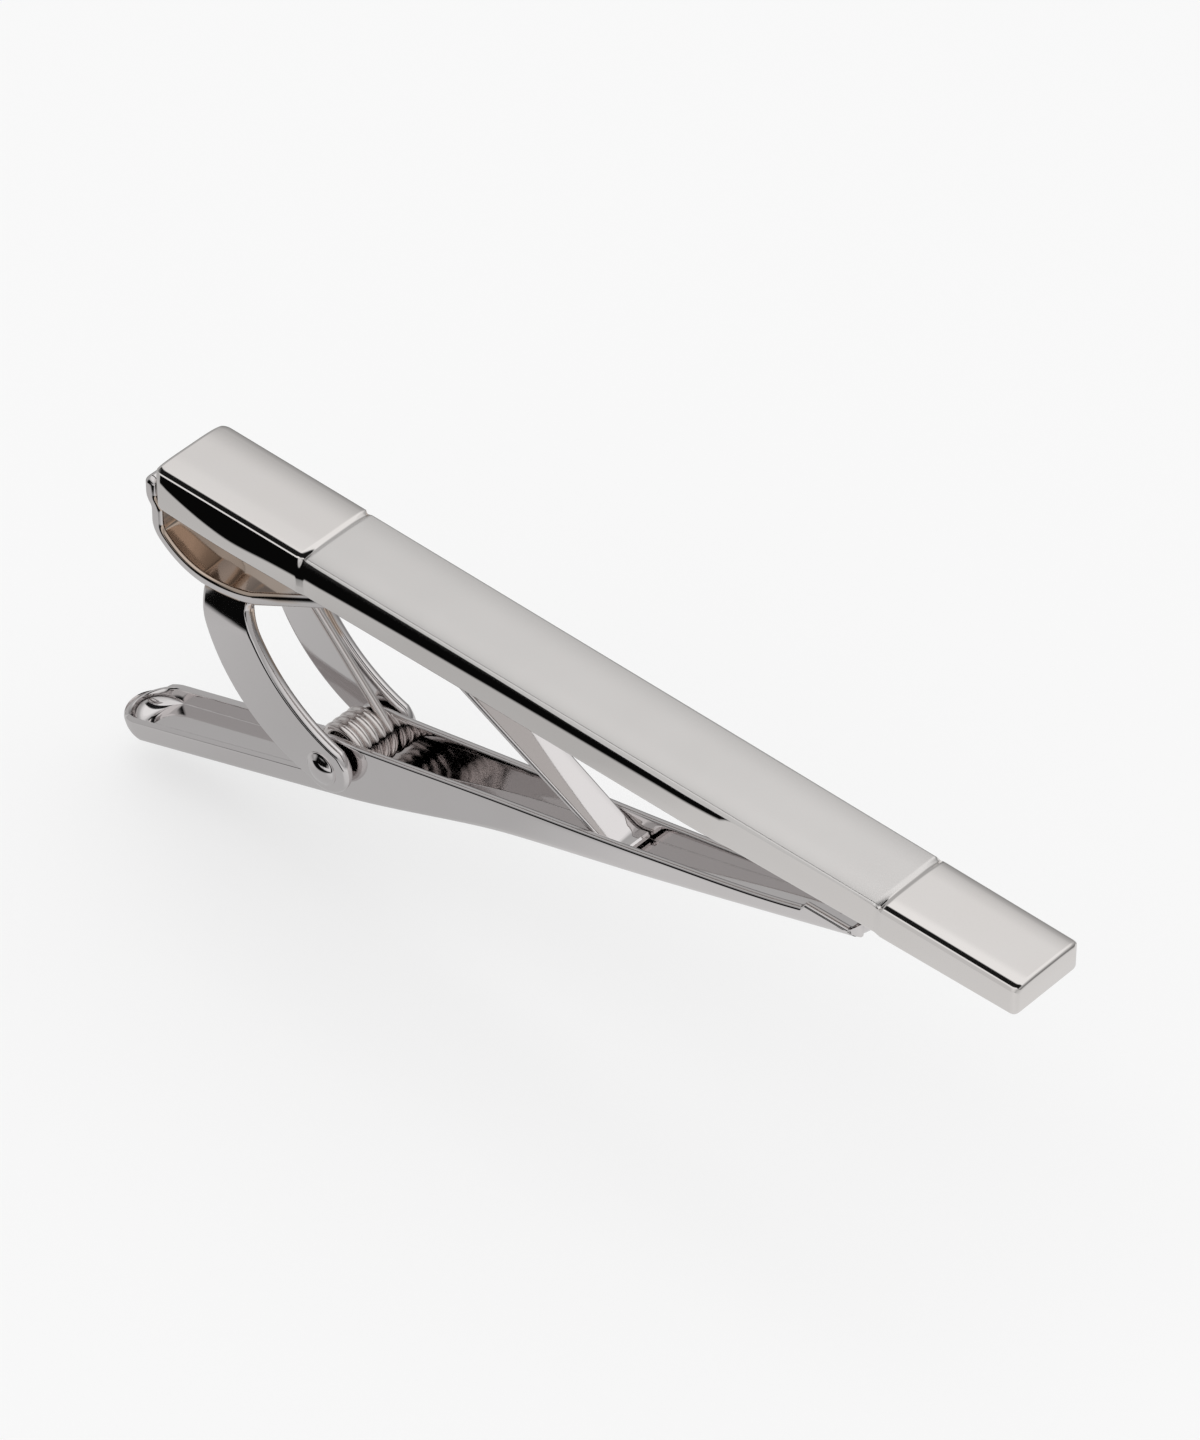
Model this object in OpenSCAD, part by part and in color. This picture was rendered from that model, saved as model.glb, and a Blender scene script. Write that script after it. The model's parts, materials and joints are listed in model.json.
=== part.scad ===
// Tie clip: a solid front bar with a sprung jaw behind it.
// x runs along the bar from its pivot end to its tip, y across the clip, and
// z up through the bar's front face. Heights are worked out from the front
// face, and the whole clip is then moved so that its origin lies under the
// bar, where the jaw's nose closes on it. The jaw is drawn closed.

/* [Front bar] */
// Length of the front bar
bar_length = 60; // [54:0.5:70]
// Width of the bar at its pivot end
bar_width = 5.14; // [4.8:0.02:7]
// Width of the bar at its tip
bar_tip_width = 4.75; // [3.6:0.05:5]
// Thickness of the bar at its pivot end
bar_thick = 2.7; // [2.4:0.05:3.4]
// Thickness of the bar at its tip
bar_tip_thick = 1.85; // [1.5:0.05:2.2]
// Rounding of the long front edges
bar_edge_r = 0.35; // [0.1:0.05:0.8]
// Rounding of the two corners at the pivot end
bar_corner_r = 0.7; // [0.2:0.05:1.5]
// Rounding of the two corners at the tip
bar_tip_corner_r = 0.4; // [0.1:0.05:0.8]
// Bevel under the pivot end, where the bracket bends in
bar_heel = 0.5; // [0.3:0.05:0.8]
// Distance of the rear groove from the pivot end
rear_groove_x = 11; // [6:0.1:18]
// Distance of the front groove from the tip
front_groove_x = 9.1; // [4:0.1:14]
// Width of a groove at the front face
groove_width = 0.45; // [0.2:0.05:1]
// Drop of the notch where a groove runs over the side
groove_drop = 0.85; // [0.4:0.05:1.5]
// Depth of that notch into the side
groove_bite = 0.16; // [0.05:0.01:0.3]

/* [Bracket] */
// Thickness of the bracket's sheet
sheet_t = 0.8; // [0.5:0.05:1]
// Width of the bracket where it loops behind the bar
loop_width = 4.6; // [3.8:0.1:5]
// Width of the pad that is soldered under the bar
pad_width = 3.3; // [2.6:0.1:4]
// Length of the pad
pad_length = 6.2; // [3:0.1:8]
// Drop from the front face to the round lip behind the bar's end
lip_drop = 1.15; // [0.9:0.05:1.5]
// Straight drop of the loop below the lip
loop_drop = 0.75; // [0.3:0.05:1.5]
// Centre radius of the loop's heel
heel_r = 1.2; // [0.8:0.05:2]
// Centre radius of the loop's sole
sole_r = 4.6; // [3:0.1:6]
// Centre radius where the loop rises again
rise_r = 9; // [6:0.1:12]
// Slope of the ramp that meets the bar, in degrees
ramp_angle = 24; // [18:0.5:32]
// Thickness of the solder between bracket and bar
solder_t = 0.08; // [0.04:0.01:0.15]

/* [Arms] */
// Distance across the outside of the two arms
arms_width = 5.8; // [5.5:0.02:7]
// Thickness of an arm
arm_t = 0.75; // [0.5:0.05:0.85]
// Place of an arm's rear edge at its root, from the pivot end
arm_root_x = 3.7; // [2.8:0.1:4.6]
// Width of an arm at its root
arm_root_width = 3.1; // [2.2:0.1:3.6]
// Radius of an arm's front edge
arm_front_r = 9.9; // [8:0.1:14]
// Radius of an arm's rear edge
arm_rear_r = 9; // [8:0.1:14]
// Radius of the round boss at the rivet
boss_r = 1.8; // [1.5:0.05:2.2]
// Height of the boss's centre above the rivet
boss_lift = 0.2; // [0:0.05:0.4]
// Outer radius of the bend between plate and arm
bend_r = 1.1; // [0.9:0.05:1.4]

/* [Tie stop] */
// Width of the tongue where it leaves the pad
tongue_width = 2.2; // [1.4:0.05:2.6]
// Width of the tongue at its foot
tongue_foot_width = 1.85; // [1:0.05:1.9]
// Thickness of the tongue
tongue_t = 0.6; // [0.4:0.05:0.8]
// Slope of the tongue, in degrees
tongue_angle = 26.5; // [20:0.5:34]
// Length of the foot that lies along the jaw
foot_length = 0.55; // [0.3:0.05:1.5]

/* [Jaw] */
// Place of the pivot along the bar, from the bar's pivot end
pivot_x = 12.3; // [11:0.1:14]
// Depth of the pivot below the front face
pivot_depth = 14; // [13:0.05:16]
// Length of the handle behind the pivot
handle_length = 18.75; // [14:0.1:24]
// Length of the jaw in front of the pivot
jaw_length = 38.15; // [34:0.1:44]
// Depth of the jaw's channel below the pivot
jaw_depth = 2.66; // [2.5:0.02:3]
// Thickness of the jaw's sheet
jaw_t = 0.45; // [0.3:0.05:0.5]
// Width of the handle's round end
handle_width = 4.16; // [4:0.02:5]
// Width of the jaw at the pivot
pivot_width = 3.9; // [3.7:0.02:4.1]
// Width of the jaw's nose
nose_width = 2.56; // [2.2:0.02:3]
// Height of the handle's walls
handle_wall = 1.5; // [1.2:0.02:1.8]
// Height of the walls in front of the pivot
ear_wall = 3.66; // [3.2:0.02:4]
// Rounding of the ears about the pivot
ear_r = 1.45; // [1.2:0.05:1.8]
// Height of the nose's rim
nose_wall = 1.44; // [1.2:0.02:1.8]
// Height of the lip on the nose that closes on the bar
bite_height = 2.4; // [2.1:0.02:2.7]
// Width of that lip
bite_width = 1.8; // [1:0.1:2]
// Rounding of the channel's long lower edges
channel_r = 0.5; // [0.5:0.05:1]

/* [Rivet and spring] */
// Diameter of the rivet's shank
rivet_d = 1; // [0.8:0.02:1.4]
// Diameter of the rivet's domed heads
rivet_head_d = 2.1; // [1.8:0.05:2.6]
// Height of a head
rivet_head_h = 0.45; // [0.3:0.05:0.7]
// Running clearance between the shank and the jaw
rivet_play = 0.04; // [0.02:0.01:0.1]
// Diameter of the spring's wire
wire_d = 0.33; // [0.28:0.01:0.34]
// Centre radius of the spring's coils
coil_r = 1.6; // [1.4:0.05:1.75]
// Distance between neighbouring coils
coil_pitch = 0.76; // [0.75:0.01:0.78]
// Whole turns of the spring, besides the part turn between its legs
coil_turns = 3; // [2:1:3]
// Slope of the leg that pushes on the bracket, in degrees
upper_leg_angle = 44; // [40:0.5:48]
// Length of the leg that pushes on the handle
lower_leg = 4; // [2:0.1:6]

/* [Hidden] */
$fn = 64;

// Clearances, and how far a cut runs past what it cuts
closed_gap = 0.05;
foot_gap = 0.12;
leg_gap = 0.06;
overrun = 1;
far = bar_length;

// Thickness of the bar along its length, as shares of its length and of the
// difference between its two ends
belly_shares = [[0, 1], [0.35, 0.75], [0.65, 0.6], [0.85, 0.27], [1, 0]];
// Rise of the jaw's floor, as shares of its front length and of its depth
floor_shares = [[0, 0.01], [0.27, 0.185], [0.35, 0.185], [0.6, 0.045], [0.95, -0.055]];
// Height of the walls in front of the pivot, as shares of the front length
// and of the wall by the pivot
wall_shares = [[0.06, 1], [0.295, 0.671], [0.595, 0.455], [0.885, 0.311]];

function bar_under(x) = -bar_tip_thick
    - (bar_thick - bar_tip_thick) * lookup(x / bar_length, belly_shares);

// Paths made of straight lines and arcs, each move being [length, 0, 0] or
// [0, radius, turn], and a place being [x, z, heading]
function dir(a) = [cos(a), sin(a)];
function left(a) = [-sin(a), cos(a)];
function after(p, m) = m[1] == 0
    ? [p[0] + m[0] * cos(p[2]), p[1] + m[0] * sin(p[2]), p[2]]
    : let (s = sign(m[2]), a = p[2] + m[2], c = [p[0], p[1]] + s * m[1] * left(p[2]))
        concat(c - s * m[1] * left(a), [a]);
function steps(p, m, n) = m[1] == 0
    ? [after(p, m)]
    : [for (i = [1:n]) after(p, [0, m[1], m[2] * i / n])];
function walk(p, moves, n, i = 0) = i == len(moves)
    ? []
    : concat(steps(p, moves[i], n), walk(after(p, moves[i]), moves, n, i + 1));
function end_of(p, moves, i = 0) = i == len(moves) ? p : end_of(after(p, moves[i]), moves, i + 1);
function side_of(path, d) = [for (p = path) [p[0], p[1]] + d * left(p[2])];
function reversed(list) = [for (i = [len(list) - 1:-1:0]) list[i]];
function strip(path, t) = concat(side_of(path, t / 2), reversed(side_of(path, -t / 2)));

// Arc of a given radius from a to b, turning left, without its two ends
function arc_between(a, b, r, n) =
    let (m = (a + b) / 2, h = norm(b - a) / 2, u = (b - a) / norm(b - a),
         c = m + sqrt(r * r - h * h) * [-u[1], u[0]],
         a0 = atan2(a[1] - c[1], a[0] - c[0]),
         a1 = atan2(b[1] - c[1], b[0] - c[0]),
         turn = a1 < a0 ? a1 - a0 + 360 : a1 - a0)
    [for (i = [1:n - 1]) c + r * dir(a0 + turn * i / n)];

// The bracket's sheet, from the lip behind the bar, round the loop and up the
// ramp to the pad under the bar
arc_steps = 8;
joggle_r = 0.8;
joggle_angle = 40;
heel_angle = 46;
pad_r = 1.5;
belly_angle = atan((bar_under(0) - bar_under(pivot_x)) / -pivot_x);
lip_start = [-solder_t - sheet_t / 2, -lip_drop - sheet_t / 2, -90];
lip_length = max(sheet_t / 4, bar_thick - bar_heel + lip_start[1]);
loop_moves = [
    [lip_length, 0, 0],
    [0, joggle_r, joggle_angle],
    [0, joggle_r, -joggle_angle],
    [loop_drop, 0, 0],
    [0, heel_r, heel_angle],
    [0, sole_r, 90 - heel_angle],
    [0, rise_r, ramp_angle],
];
rise_end = end_of(lip_start, loop_moves);
pad_turn = ramp_angle - belly_angle;
rise_gap = (bar_under(rise_end[0]) - rise_end[1]) * cos(belly_angle) - solder_t - sheet_t / 2;
ramp_length = (rise_gap - pad_r * (1 - cos(pad_turn))) / sin(pad_turn);
ramp_moves = [[ramp_length, 0, 0], [0, pad_r, -pad_turn]];
pad_start = end_of(rise_end, ramp_moves);
pad_end = after(pad_start, [pad_length, 0, 0]);
plate_path = concat(
    [lip_start],
    walk(lip_start, loop_moves, arc_steps),
    walk(rise_end, ramp_moves, arc_steps),
    [pad_end]
);

// The jaw is closed when its nose meets the bar
nose_top = floor_v(jaw_length) + bite_height;
function closed_angle(level) =
    asin((level + pivot_depth) / norm([jaw_length, nose_top])) - atan2(nose_top, jaw_length);
first_angle = closed_angle(bar_under(pivot_x + jaw_length) - closed_gap);
jaw_angle = closed_angle(bar_under(pivot_x + jaw_length * cos(first_angle)) - closed_gap);
pivot = [pivot_x, -pivot_depth];

module in_place() {
    translate([pivot_x, 0, -pivot_depth])
        rotate([0, -jaw_angle, 0])
            children();
}

// Extrudes an outline drawn in x and z across the clip
module across(width) {
    translate([0, width / 2, 0])
        rotate([90, 0, 0])
            linear_extrude(width)
                children();
}

// One long side of the bar: its section has a round front edge, and it leans
// in towards the tip
side_taper = atan((bar_width - bar_tip_width) / 2 / bar_length);
module bar_side() {
    translate([0, -bar_width / 2, 0])
        rotate([0, 0, side_taper])
            translate([-overrun, 0, 0])
                rotate([90, 0, 90])
                    linear_extrude(bar_length + 3 * overrun) {
                        translate([bar_edge_r, -bar_edge_r])
                            circle(bar_edge_r);
                        translate([0, -bar_thick - overrun])
                            square([bar_width, bar_thick + overrun - bar_edge_r]);
                        translate([bar_edge_r, -bar_thick - overrun])
                            square([bar_width, bar_thick + overrun]);
                    }
}

// The bar from above, with its round corners. The tapering sides cut it to
// width, and the corners at the tip reach just past them.
module bar_plan() {
    tip_x = bar_length - bar_tip_corner_r;
    tip_y = bar_tip_width / 2 - 0.97 * bar_tip_corner_r;
    translate([0, 0, -bar_thick - overrun])
        linear_extrude(bar_thick + 2 * overrun) {
            for (s = [-1, 1]) {
                translate([bar_corner_r, s * (bar_width / 2 - bar_corner_r)])
                    circle(bar_corner_r);
                translate([tip_x, s * tip_y])
                    circle(bar_tip_corner_r);
            }
            translate([0, bar_corner_r - bar_width / 2])
                square([2 * bar_corner_r, bar_width - 2 * bar_corner_r]);
            translate([bar_corner_r, -bar_width / 2])
                square([tip_x - bar_corner_r, bar_width]);
            translate([tip_x - bar_tip_corner_r, -tip_y])
                square([2 * bar_tip_corner_r, 2 * tip_y]);
        }
}

module groove(x) {
    translate([x, 0, 0])
        rotate([0, 45, 0])
            cube([groove_width / sqrt(2), bar_width + 2 * overrun, groove_width / sqrt(2)], center = true);
    for (s = [-1, 1])
        translate([x, s * (bar_width / 2 - x * tan(side_taper)), -groove_drop])
            rotate([0, 0, 45])
                translate([-groove_bite / sqrt(2), -groove_bite / sqrt(2), 0])
                    cube([groove_bite * sqrt(2), groove_bite * sqrt(2), groove_drop + overrun]);
}

module front_bar() {
    side = concat(
        [[0, overrun], [0, bar_heel - bar_thick], [bar_heel, bar_under(bar_heel)]],
        [for (s = belly_shares) if (s[0] > 0) [s[0] * bar_length, bar_under(s[0] * bar_length)]],
        [[bar_length, overrun]]
    );
    color("gainsboro")
        difference() {
            intersection() {
                bar_side();
                mirror([0, 1, 0])
                    bar_side();
                bar_plan();
                across(bar_width + overrun)
                    polygon(side);
            }
            groove(rear_groove_x);
            groove(bar_length - front_groove_x);
        }
}

// Solder fills the joint behind the bar's end and the joint over the pad
module solder() {
    lip_top = lip_start[1];
    ends = [pad_start[0], pad_end[0]];
    color("silver") {
        across(loop_width - 2 * solder_t)
            polygon([
                [-solder_t, lip_top],
                [0, lip_top],
                [0, lip_top - lip_length],
                [-solder_t, lip_top - lip_length],
            ]);
        across(pad_width - 2 * solder_t)
            polygon([
                [ends[0], bar_under(ends[0])],
                [ends[1], bar_under(ends[1])],
                [ends[1], bar_under(ends[1]) - solder_t],
                [ends[0], bar_under(ends[0]) - solder_t],
            ]);
    }
}

// The arms' outline, from the plate down to the boss about the rivet
arm_root_z = rise_end[1] - sheet_t;
arm_front_x = arm_root_x + arm_root_width;
boss = pivot + [0, boss_lift];
rear_foot_angle = 237;
front_foot_angle = 50;
arm_rear_foot = boss + boss_r * dir(rear_foot_angle);
arm_front_foot = boss + boss_r * dir(front_foot_angle);
arm_top = bar_under(0) - sheet_t;
arm_outline = concat(
    [[arm_root_x, arm_top], [arm_root_x, arm_root_z]],
    arc_between([arm_root_x, arm_root_z], arm_rear_foot, arm_rear_r, arc_steps * 2),
    [arm_rear_foot],
    [arm_front_foot],
    reversed(arc_between([arm_front_x, arm_root_z], arm_front_foot, arm_front_r, arc_steps * 2)),
    [[arm_front_x, arm_root_z], [arm_front_x, arm_top]]
);

module arm_profile() {
    polygon(arm_outline);
    translate(boss)
        circle(boss_r);
}

// Space under the plate's upper face, and the space between the arms
module under_plate(drop, width) {
    upper = side_of(plate_path, -drop);
    across(width)
        polygon(concat([for (p = upper) if (p[0] > 0) p], [[pad_end[0], -far], [0, -far]]));
}

// Round outer bends where the arms leave the plate
saddle_angle = 9;
module bend_envelope() {
    top = rise_end[1] + sheet_t / 2;
    translate([arm_front_x, 0, top])
        rotate([0, -saddle_angle, 0])
            translate([-far / 2, 0, 0])
                rotate([90, 0, 90])
                    linear_extrude(far) {
                        for (s = [-1, 1])
                            translate([s * (arms_width / 2 - bend_r), -bend_r])
                                circle(bend_r);
                        translate([bend_r - arms_width / 2, -bend_r])
                            square([arms_width - 2 * bend_r, 2 * bend_r]);
                        translate([-arms_width / 2, -far])
                            square([arms_width, far - bend_r]);
                    }
}

module plate_plan() {
    neck_x = rise_end[0];
    translate([0, 0, -far])
        linear_extrude(2 * far)
            polygon([
                [-far, -loop_width / 2],
                [neck_x, -loop_width / 2],
                [pad_start[0], -pad_width / 2],
                [far, -pad_width / 2],
                [far, pad_width / 2],
                [pad_start[0], pad_width / 2],
                [neck_x, loop_width / 2],
                [-far, loop_width / 2],
            ]);
}

// The tongue leaves the pad, runs down to the jaw's floor and turns along it
foot_r = 1.2;
tongue_turn_r = 1;
tongue_lift = (sheet_t - tongue_t) / 3 * left(belly_angle);
tongue_root = concat([pad_end[0], pad_end[1]] + tongue_lift - tongue_t * dir(belly_angle), [belly_angle]);
tongue_bend = [0, tongue_turn_r, -tongue_angle - belly_angle];
tongue_start = end_of(tongue_root, [tongue_bend]);
floor_at = floor_place(0.5);
floor_heading = jaw_angle + floor_slope(0.5);
foot_turn = floor_heading - tongue_start[2];
foot_height = ([tongue_start[0], tongue_start[1]] - floor_at) * left(floor_heading);
tongue_run = (foot_height - foot_gap - tongue_t / 2 - foot_r * (1 - cos(foot_turn))) / sin(foot_turn);
tongue_path = concat(
    [tongue_root],
    walk(tongue_root, [tongue_bend, [tongue_run, 0, 0], [0, foot_r, foot_turn], [foot_length, 0, 0]], arc_steps)
);
function floor_place(share) =
    pivot + share * jaw_length * dir(jaw_angle)
    + (jaw_t - jaw_depth + jaw_depth * lookup(share, floor_shares)) * left(jaw_angle);
function floor_slope(share) =
    atan(jaw_depth * (lookup(share + 0.1, floor_shares) - lookup(share, floor_shares)) / (0.1 * jaw_length));

module tongue_plan() {
    foot = tongue_path[len(tongue_path) - 1];
    translate([0, 0, -far])
        linear_extrude(2 * far)
            polygon([
                [pad_start[0], -tongue_width / 2],
                [pad_end[0], -tongue_width / 2],
                [foot[0] + overrun, -tongue_foot_width / 2],
                [foot[0] + overrun, tongue_foot_width / 2],
                [pad_end[0], tongue_width / 2],
                [pad_start[0], tongue_width / 2],
            ]);
}

module bracket() {
    color("silver")
        difference() {
            union() {
                intersection() {
                    across(loop_width) {
                        polygon(strip(plate_path, sheet_t));
                        translate([lip_start[0], lip_start[1]])
                            circle(sheet_t / 2);
                    }
                    plate_plan();
                }
                difference() {
                    intersection() {
                        across(arms_width)
                            arm_profile();
                        under_plate(-sheet_t / 2, arms_width);
                        bend_envelope();
                    }
                    under_plate(sheet_t / 2, arms_width - 2 * arm_t);
                }
                intersection() {
                    across(tongue_width)
                        polygon(strip(tongue_path, tongue_t));
                    tongue_plan();
                }
            }
            translate([pivot_x, 0, -pivot_depth])
                rotate([90, 0, 0])
                    cylinder(d = rivet_d, h = arms_width + overrun, center = true);
        }
}

// The jaw is drawn out of flat sheet into a channel with round ends. Along it
// u runs from the pivot to the nose and v up. An inset of zero gives its
// outside, and an inset of the sheet's thickness its inside.
handle_round = handle_width / 2;
nose_round = nose_width / 2;
handle_centre = handle_round - handle_length;
nose_centre = jaw_length - nose_round;
end_rise = 0.6 * handle_wall;
function main_half(u) = u < 0
    ? pivot_width / 2 + (handle_width - pivot_width) / 2 * u / handle_centre
    : pivot_width / 2 + (nose_width - pivot_width) / 2 * u / nose_centre;
function past(u) = u < handle_centre
    ? (handle_centre - u) / handle_round
    : u > nose_centre ? (u - nose_centre) / nose_round : 0;
function floor_v(u) = -jaw_depth + jaw_depth * lookup(max(u, 0) / jaw_length, floor_shares);

// Sections along the jaw, each [u, half width, floor]
end_steps = 7;
main_shares = [0, 0.09, 0.18, 0.27, 0.31, 0.35, 0.475, 0.6, 0.775];
function end_station(c, r, s, inset, t) =
    [c + s * (r - inset) * sin(t),
     (r - inset) * cos(t),
     floor_v(c) + inset + (end_rise - inset / 2) * (1 - cos(t))];
end_turns = [for (i = [0:end_steps]) 86 * sin(90 * i / end_steps)];
function stations(inset) = concat(
    [for (t = reversed(end_turns)) end_station(handle_centre, handle_round, -1, inset, t)],
    [for (s = [0.75, 0.5, 0.25]) [handle_centre * s, main_half(handle_centre * s) - inset,
        floor_v(0) + inset]],
    [for (s = main_shares) [jaw_length * s, main_half(jaw_length * s) - inset,
        floor_v(jaw_length * s) + inset]],
    [for (t = end_turns) end_station(nose_centre, nose_round, 1, inset, t)]
);

corner_steps = 4;
function section(s, top, r) =
    let (rc = min(r, 0.95 * s[1]), turns = [for (i = [0:corner_steps]) 90 * i / corner_steps])
    concat(
        [[s[0], -s[1], top]],
        [for (a = turns) [s[0], -s[1] + rc - rc * cos(a), s[2] + rc - rc * sin(a)]],
        [for (a = reversed(turns)) [s[0], s[1] - rc + rc * cos(a), s[2] + rc - rc * sin(a)]],
        [[s[0], s[1], top]]
    );

// Skin over a row of sections that have the same number of points
module loft(rows) {
    n = len(rows[0]);
    last = len(rows) - 1;
    skin = [for (i = [0:last - 1], j = [0:n - 1])
        let (k = (j + 1) % n)
        each [[i * n + j, (i + 1) * n + j, (i + 1) * n + k], [i * n + j, (i + 1) * n + k, i * n + k]]];
    polyhedron(
        points = [for (row = rows) each row],
        faces = concat(
            [[for (j = [0:n - 1]) j]],
            skin,
            [[for (j = [n - 1:-1:0]) last * n + j]]
        )
    );
}

module channel(inset, top) {
    loft([for (s = stations(inset)) section(s, top, channel_r - inset / 2)]);
}

// The walls' upper line, seen from the side
rim_dip = 0.08 * handle_wall;
rim_step_u = 0.12 * handle_wall - handle_length + handle_round / 3;
ear_rise = 0.35 * ear_r;
nose_step = 0.3 * nose_wall;
function wall_v(s) = floor_v(s[0] * jaw_length) + ear_wall * s[1];
wall_end = wall_shares[len(wall_shares) - 1];
nose_step_u = wall_end[0] * jaw_length + nose_step;
nose_rim_v = floor_v(nose_step_u) + nose_wall;
nose_rim_drop = (jaw_length - nose_step_u) * tan(jaw_angle);
wall_line = concat(
    [[-handle_length - overrun, -far],
     [-handle_length - overrun, handle_wall - jaw_depth - rim_dip],
     [rim_step_u, handle_wall - jaw_depth - rim_dip],
     [rim_step_u + rim_dip, handle_wall - jaw_depth],
     [-ear_r - ear_rise, handle_wall - jaw_depth],
     [-ear_r, handle_wall - jaw_depth + ear_rise / 2],
     [-ear_r, 0],
     [0, 0]],
    [[0, ear_r]],
    [for (s = wall_shares) [s[0] * jaw_length, wall_v(s)]],
    [[nose_step_u, nose_rim_v],
     [jaw_length + overrun, nose_rim_v - nose_rim_drop],
     [jaw_length + overrun, -far]]
);

module side_line() {
    across(handle_width + overrun) {
        polygon(wall_line);
        circle(ear_r);
    }
}

// The nose turns up in a narrow lip that closes on the bar
bite_run = 0.8 * nose_round;
module bite() {
    bite_start = pivot_x + (jaw_length - bite_run) * cos(jaw_angle);
    under = bar_under(bite_start) - closed_gap;
    intersection() {
        in_place()
            channel(0, 0);
        translate([bite_start, -bite_width / 2, under - far])
            cube([far, bite_width, far]);
    }
}

module lower_jaw() {
    color("darkgray")
        difference() {
            union() {
                in_place()
                    difference() {
                        intersection() {
                            channel(0, 2 * ear_r);
                            side_line();
                        }
                        channel(jaw_t, 3 * ear_r);
                    }
                bite();
            }
            translate([pivot_x, 0, -pivot_depth])
                rotate([90, 0, 0])
                    cylinder(r = rivet_d / 2 + rivet_play, h = pivot_width + overrun, center = true);
        }
}

// The rivet's heads are caps of a sphere
head_sphere_r = (rivet_head_d * rivet_head_d / 4 + rivet_head_h * rivet_head_h) / (2 * rivet_head_h);
module rivet_head() {
    intersection() {
        translate([0, 0, rivet_head_h - head_sphere_r])
            sphere(head_sphere_r);
        cylinder(r = rivet_head_d, h = rivet_head_h + overrun);
    }
}

module hinge_rivet() {
    color("whitesmoke")
        translate([pivot_x, 0, -pivot_depth])
            for (s = [90, -90])
                rotate([s, 0, 0]) {
                    translate([0, 0, arms_width / 2])
                        rivet_head();
                    cylinder(d = rivet_d, h = arms_width / 2);
                }
}

// The spring: the upper leg comes down to the coils on the far side, the
// coils turn towards the near side, and the lower leg runs along the handle
coil_start = upper_leg_angle;
lower_leg_angle = jaw_angle - 90 + asin((jaw_depth - jaw_t - coil_r - wire_d / 2 - leg_gap) / lower_leg);
coil_turn = coil_turns * 360 + coil_start - lower_leg_angle;
coil_span = coil_pitch * coil_turn / 360;
turn_rings = 24;
coil_rings = ceil(turn_rings * coil_turn / 360);
coil_out = [for (i = [0:coil_rings]) coil_start - coil_turn * i / coil_rings];
upper_leg = leg_reach();
leg_steps = 6;

// The upper leg ends under the ramp
function leg_reach() =
    let (foot = pivot + coil_r * dir(upper_leg_angle),
         along = left(upper_leg_angle),
         roof = [rise_end[0], rise_end[1]] - (sheet_t / 2 + wire_d / 2 + leg_gap) * left(rise_end[2] - saddle_angle),
         normal = left(rise_end[2] - saddle_angle))
    ((roof - foot) * normal) / (along * normal);

function ring_place(p, y, a) = [p[0], y, p[1], a];
spring_path = concat(
    [for (i = [0:leg_steps - 1]) ring_place(
        pivot + coil_r * dir(coil_start) + upper_leg * (1 - i / leg_steps) * left(coil_start),
        coil_span / 2, coil_start)],
    [for (i = [0:coil_rings]) ring_place(
        pivot + coil_r * dir(coil_out[i]), coil_span / 2 - coil_span * i / coil_rings, coil_out[i])],
    [for (i = [1:leg_steps]) ring_place(
        pivot + coil_r * dir(lower_leg_angle) - lower_leg * i / leg_steps * left(lower_leg_angle),
        -coil_span / 2, lower_leg_angle)]
);
wire_sides = 6;
function wire_ring(p) =
    let (out = [cos(p[3]), 0, sin(p[3])])
    [for (j = [0:wire_sides - 1])
        [p[0], p[1], p[2]] + wire_d / 2 * (cos(360 * j / wire_sides) * out + sin(360 * j / wire_sides) * [0, 1, 0])];

// Least gap between the spring's turns, measured on its rings
self_gap = min([
    for (i = [0:len(spring_path) - 1], j = [i + turn_rings / 2:1:len(spring_path) - 1])
        let (a = spring_path[i], b = spring_path[j])
        norm([a[0] - b[0], a[1] - b[1], a[2] - b[2]]) - wire_d
]);
echo(spring_self_gap = self_gap);

module torsion_spring() {
    color("lightgray")
        loft([for (p = spring_path) reversed(wire_ring(p))]);
}

// The origin lies under the bar, over the jaw's nose
grip_x = pivot_x + (jaw_length - nose_round) * cos(jaw_angle);
module at_grip() {
    translate([-grip_x, 0, -bar_under(grip_x)])
        children();
}

at_grip() front_bar();
at_grip() solder();
at_grip() bracket();
at_grip() lower_jaw();
at_grip() hinge_rivet();
at_grip() torsion_spring();
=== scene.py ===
"""Tie clip: a polished front bar with a sprung jaw behind it.

The builders work in millimetres, with x from the bar's pivot end, y across the
clip and z up from the bar's front face. at() turns such a place into the
frame's metres, and sizes() gives a group of settings in millimetres.
"""
import json
import math
from types import SimpleNamespace

import bmesh
import bpy
from bpy.props import FloatProperty, FloatVectorProperty, IntProperty, PointerProperty
from mathutils import Matrix, Vector


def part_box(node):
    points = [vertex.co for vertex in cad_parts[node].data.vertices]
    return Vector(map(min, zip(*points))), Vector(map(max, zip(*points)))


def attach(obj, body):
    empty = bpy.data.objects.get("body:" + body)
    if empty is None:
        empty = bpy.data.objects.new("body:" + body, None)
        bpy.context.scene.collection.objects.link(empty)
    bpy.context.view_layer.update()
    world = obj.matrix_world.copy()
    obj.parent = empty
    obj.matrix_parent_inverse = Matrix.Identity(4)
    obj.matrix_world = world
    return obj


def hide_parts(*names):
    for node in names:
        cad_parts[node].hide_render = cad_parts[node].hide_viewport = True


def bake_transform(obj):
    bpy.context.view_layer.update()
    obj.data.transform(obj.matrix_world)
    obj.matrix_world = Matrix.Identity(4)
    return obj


bl_info = {
    "name": "Tie clip",
    "version": (1, 0, 0),
    "blender": (4, 5, 0),
    "location": "3D View > Sidebar > Tie clip",
    "description": "Dresses the packed tie clip with detailed pieces, materials and a stage",
    "category": "Object",
}

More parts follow.
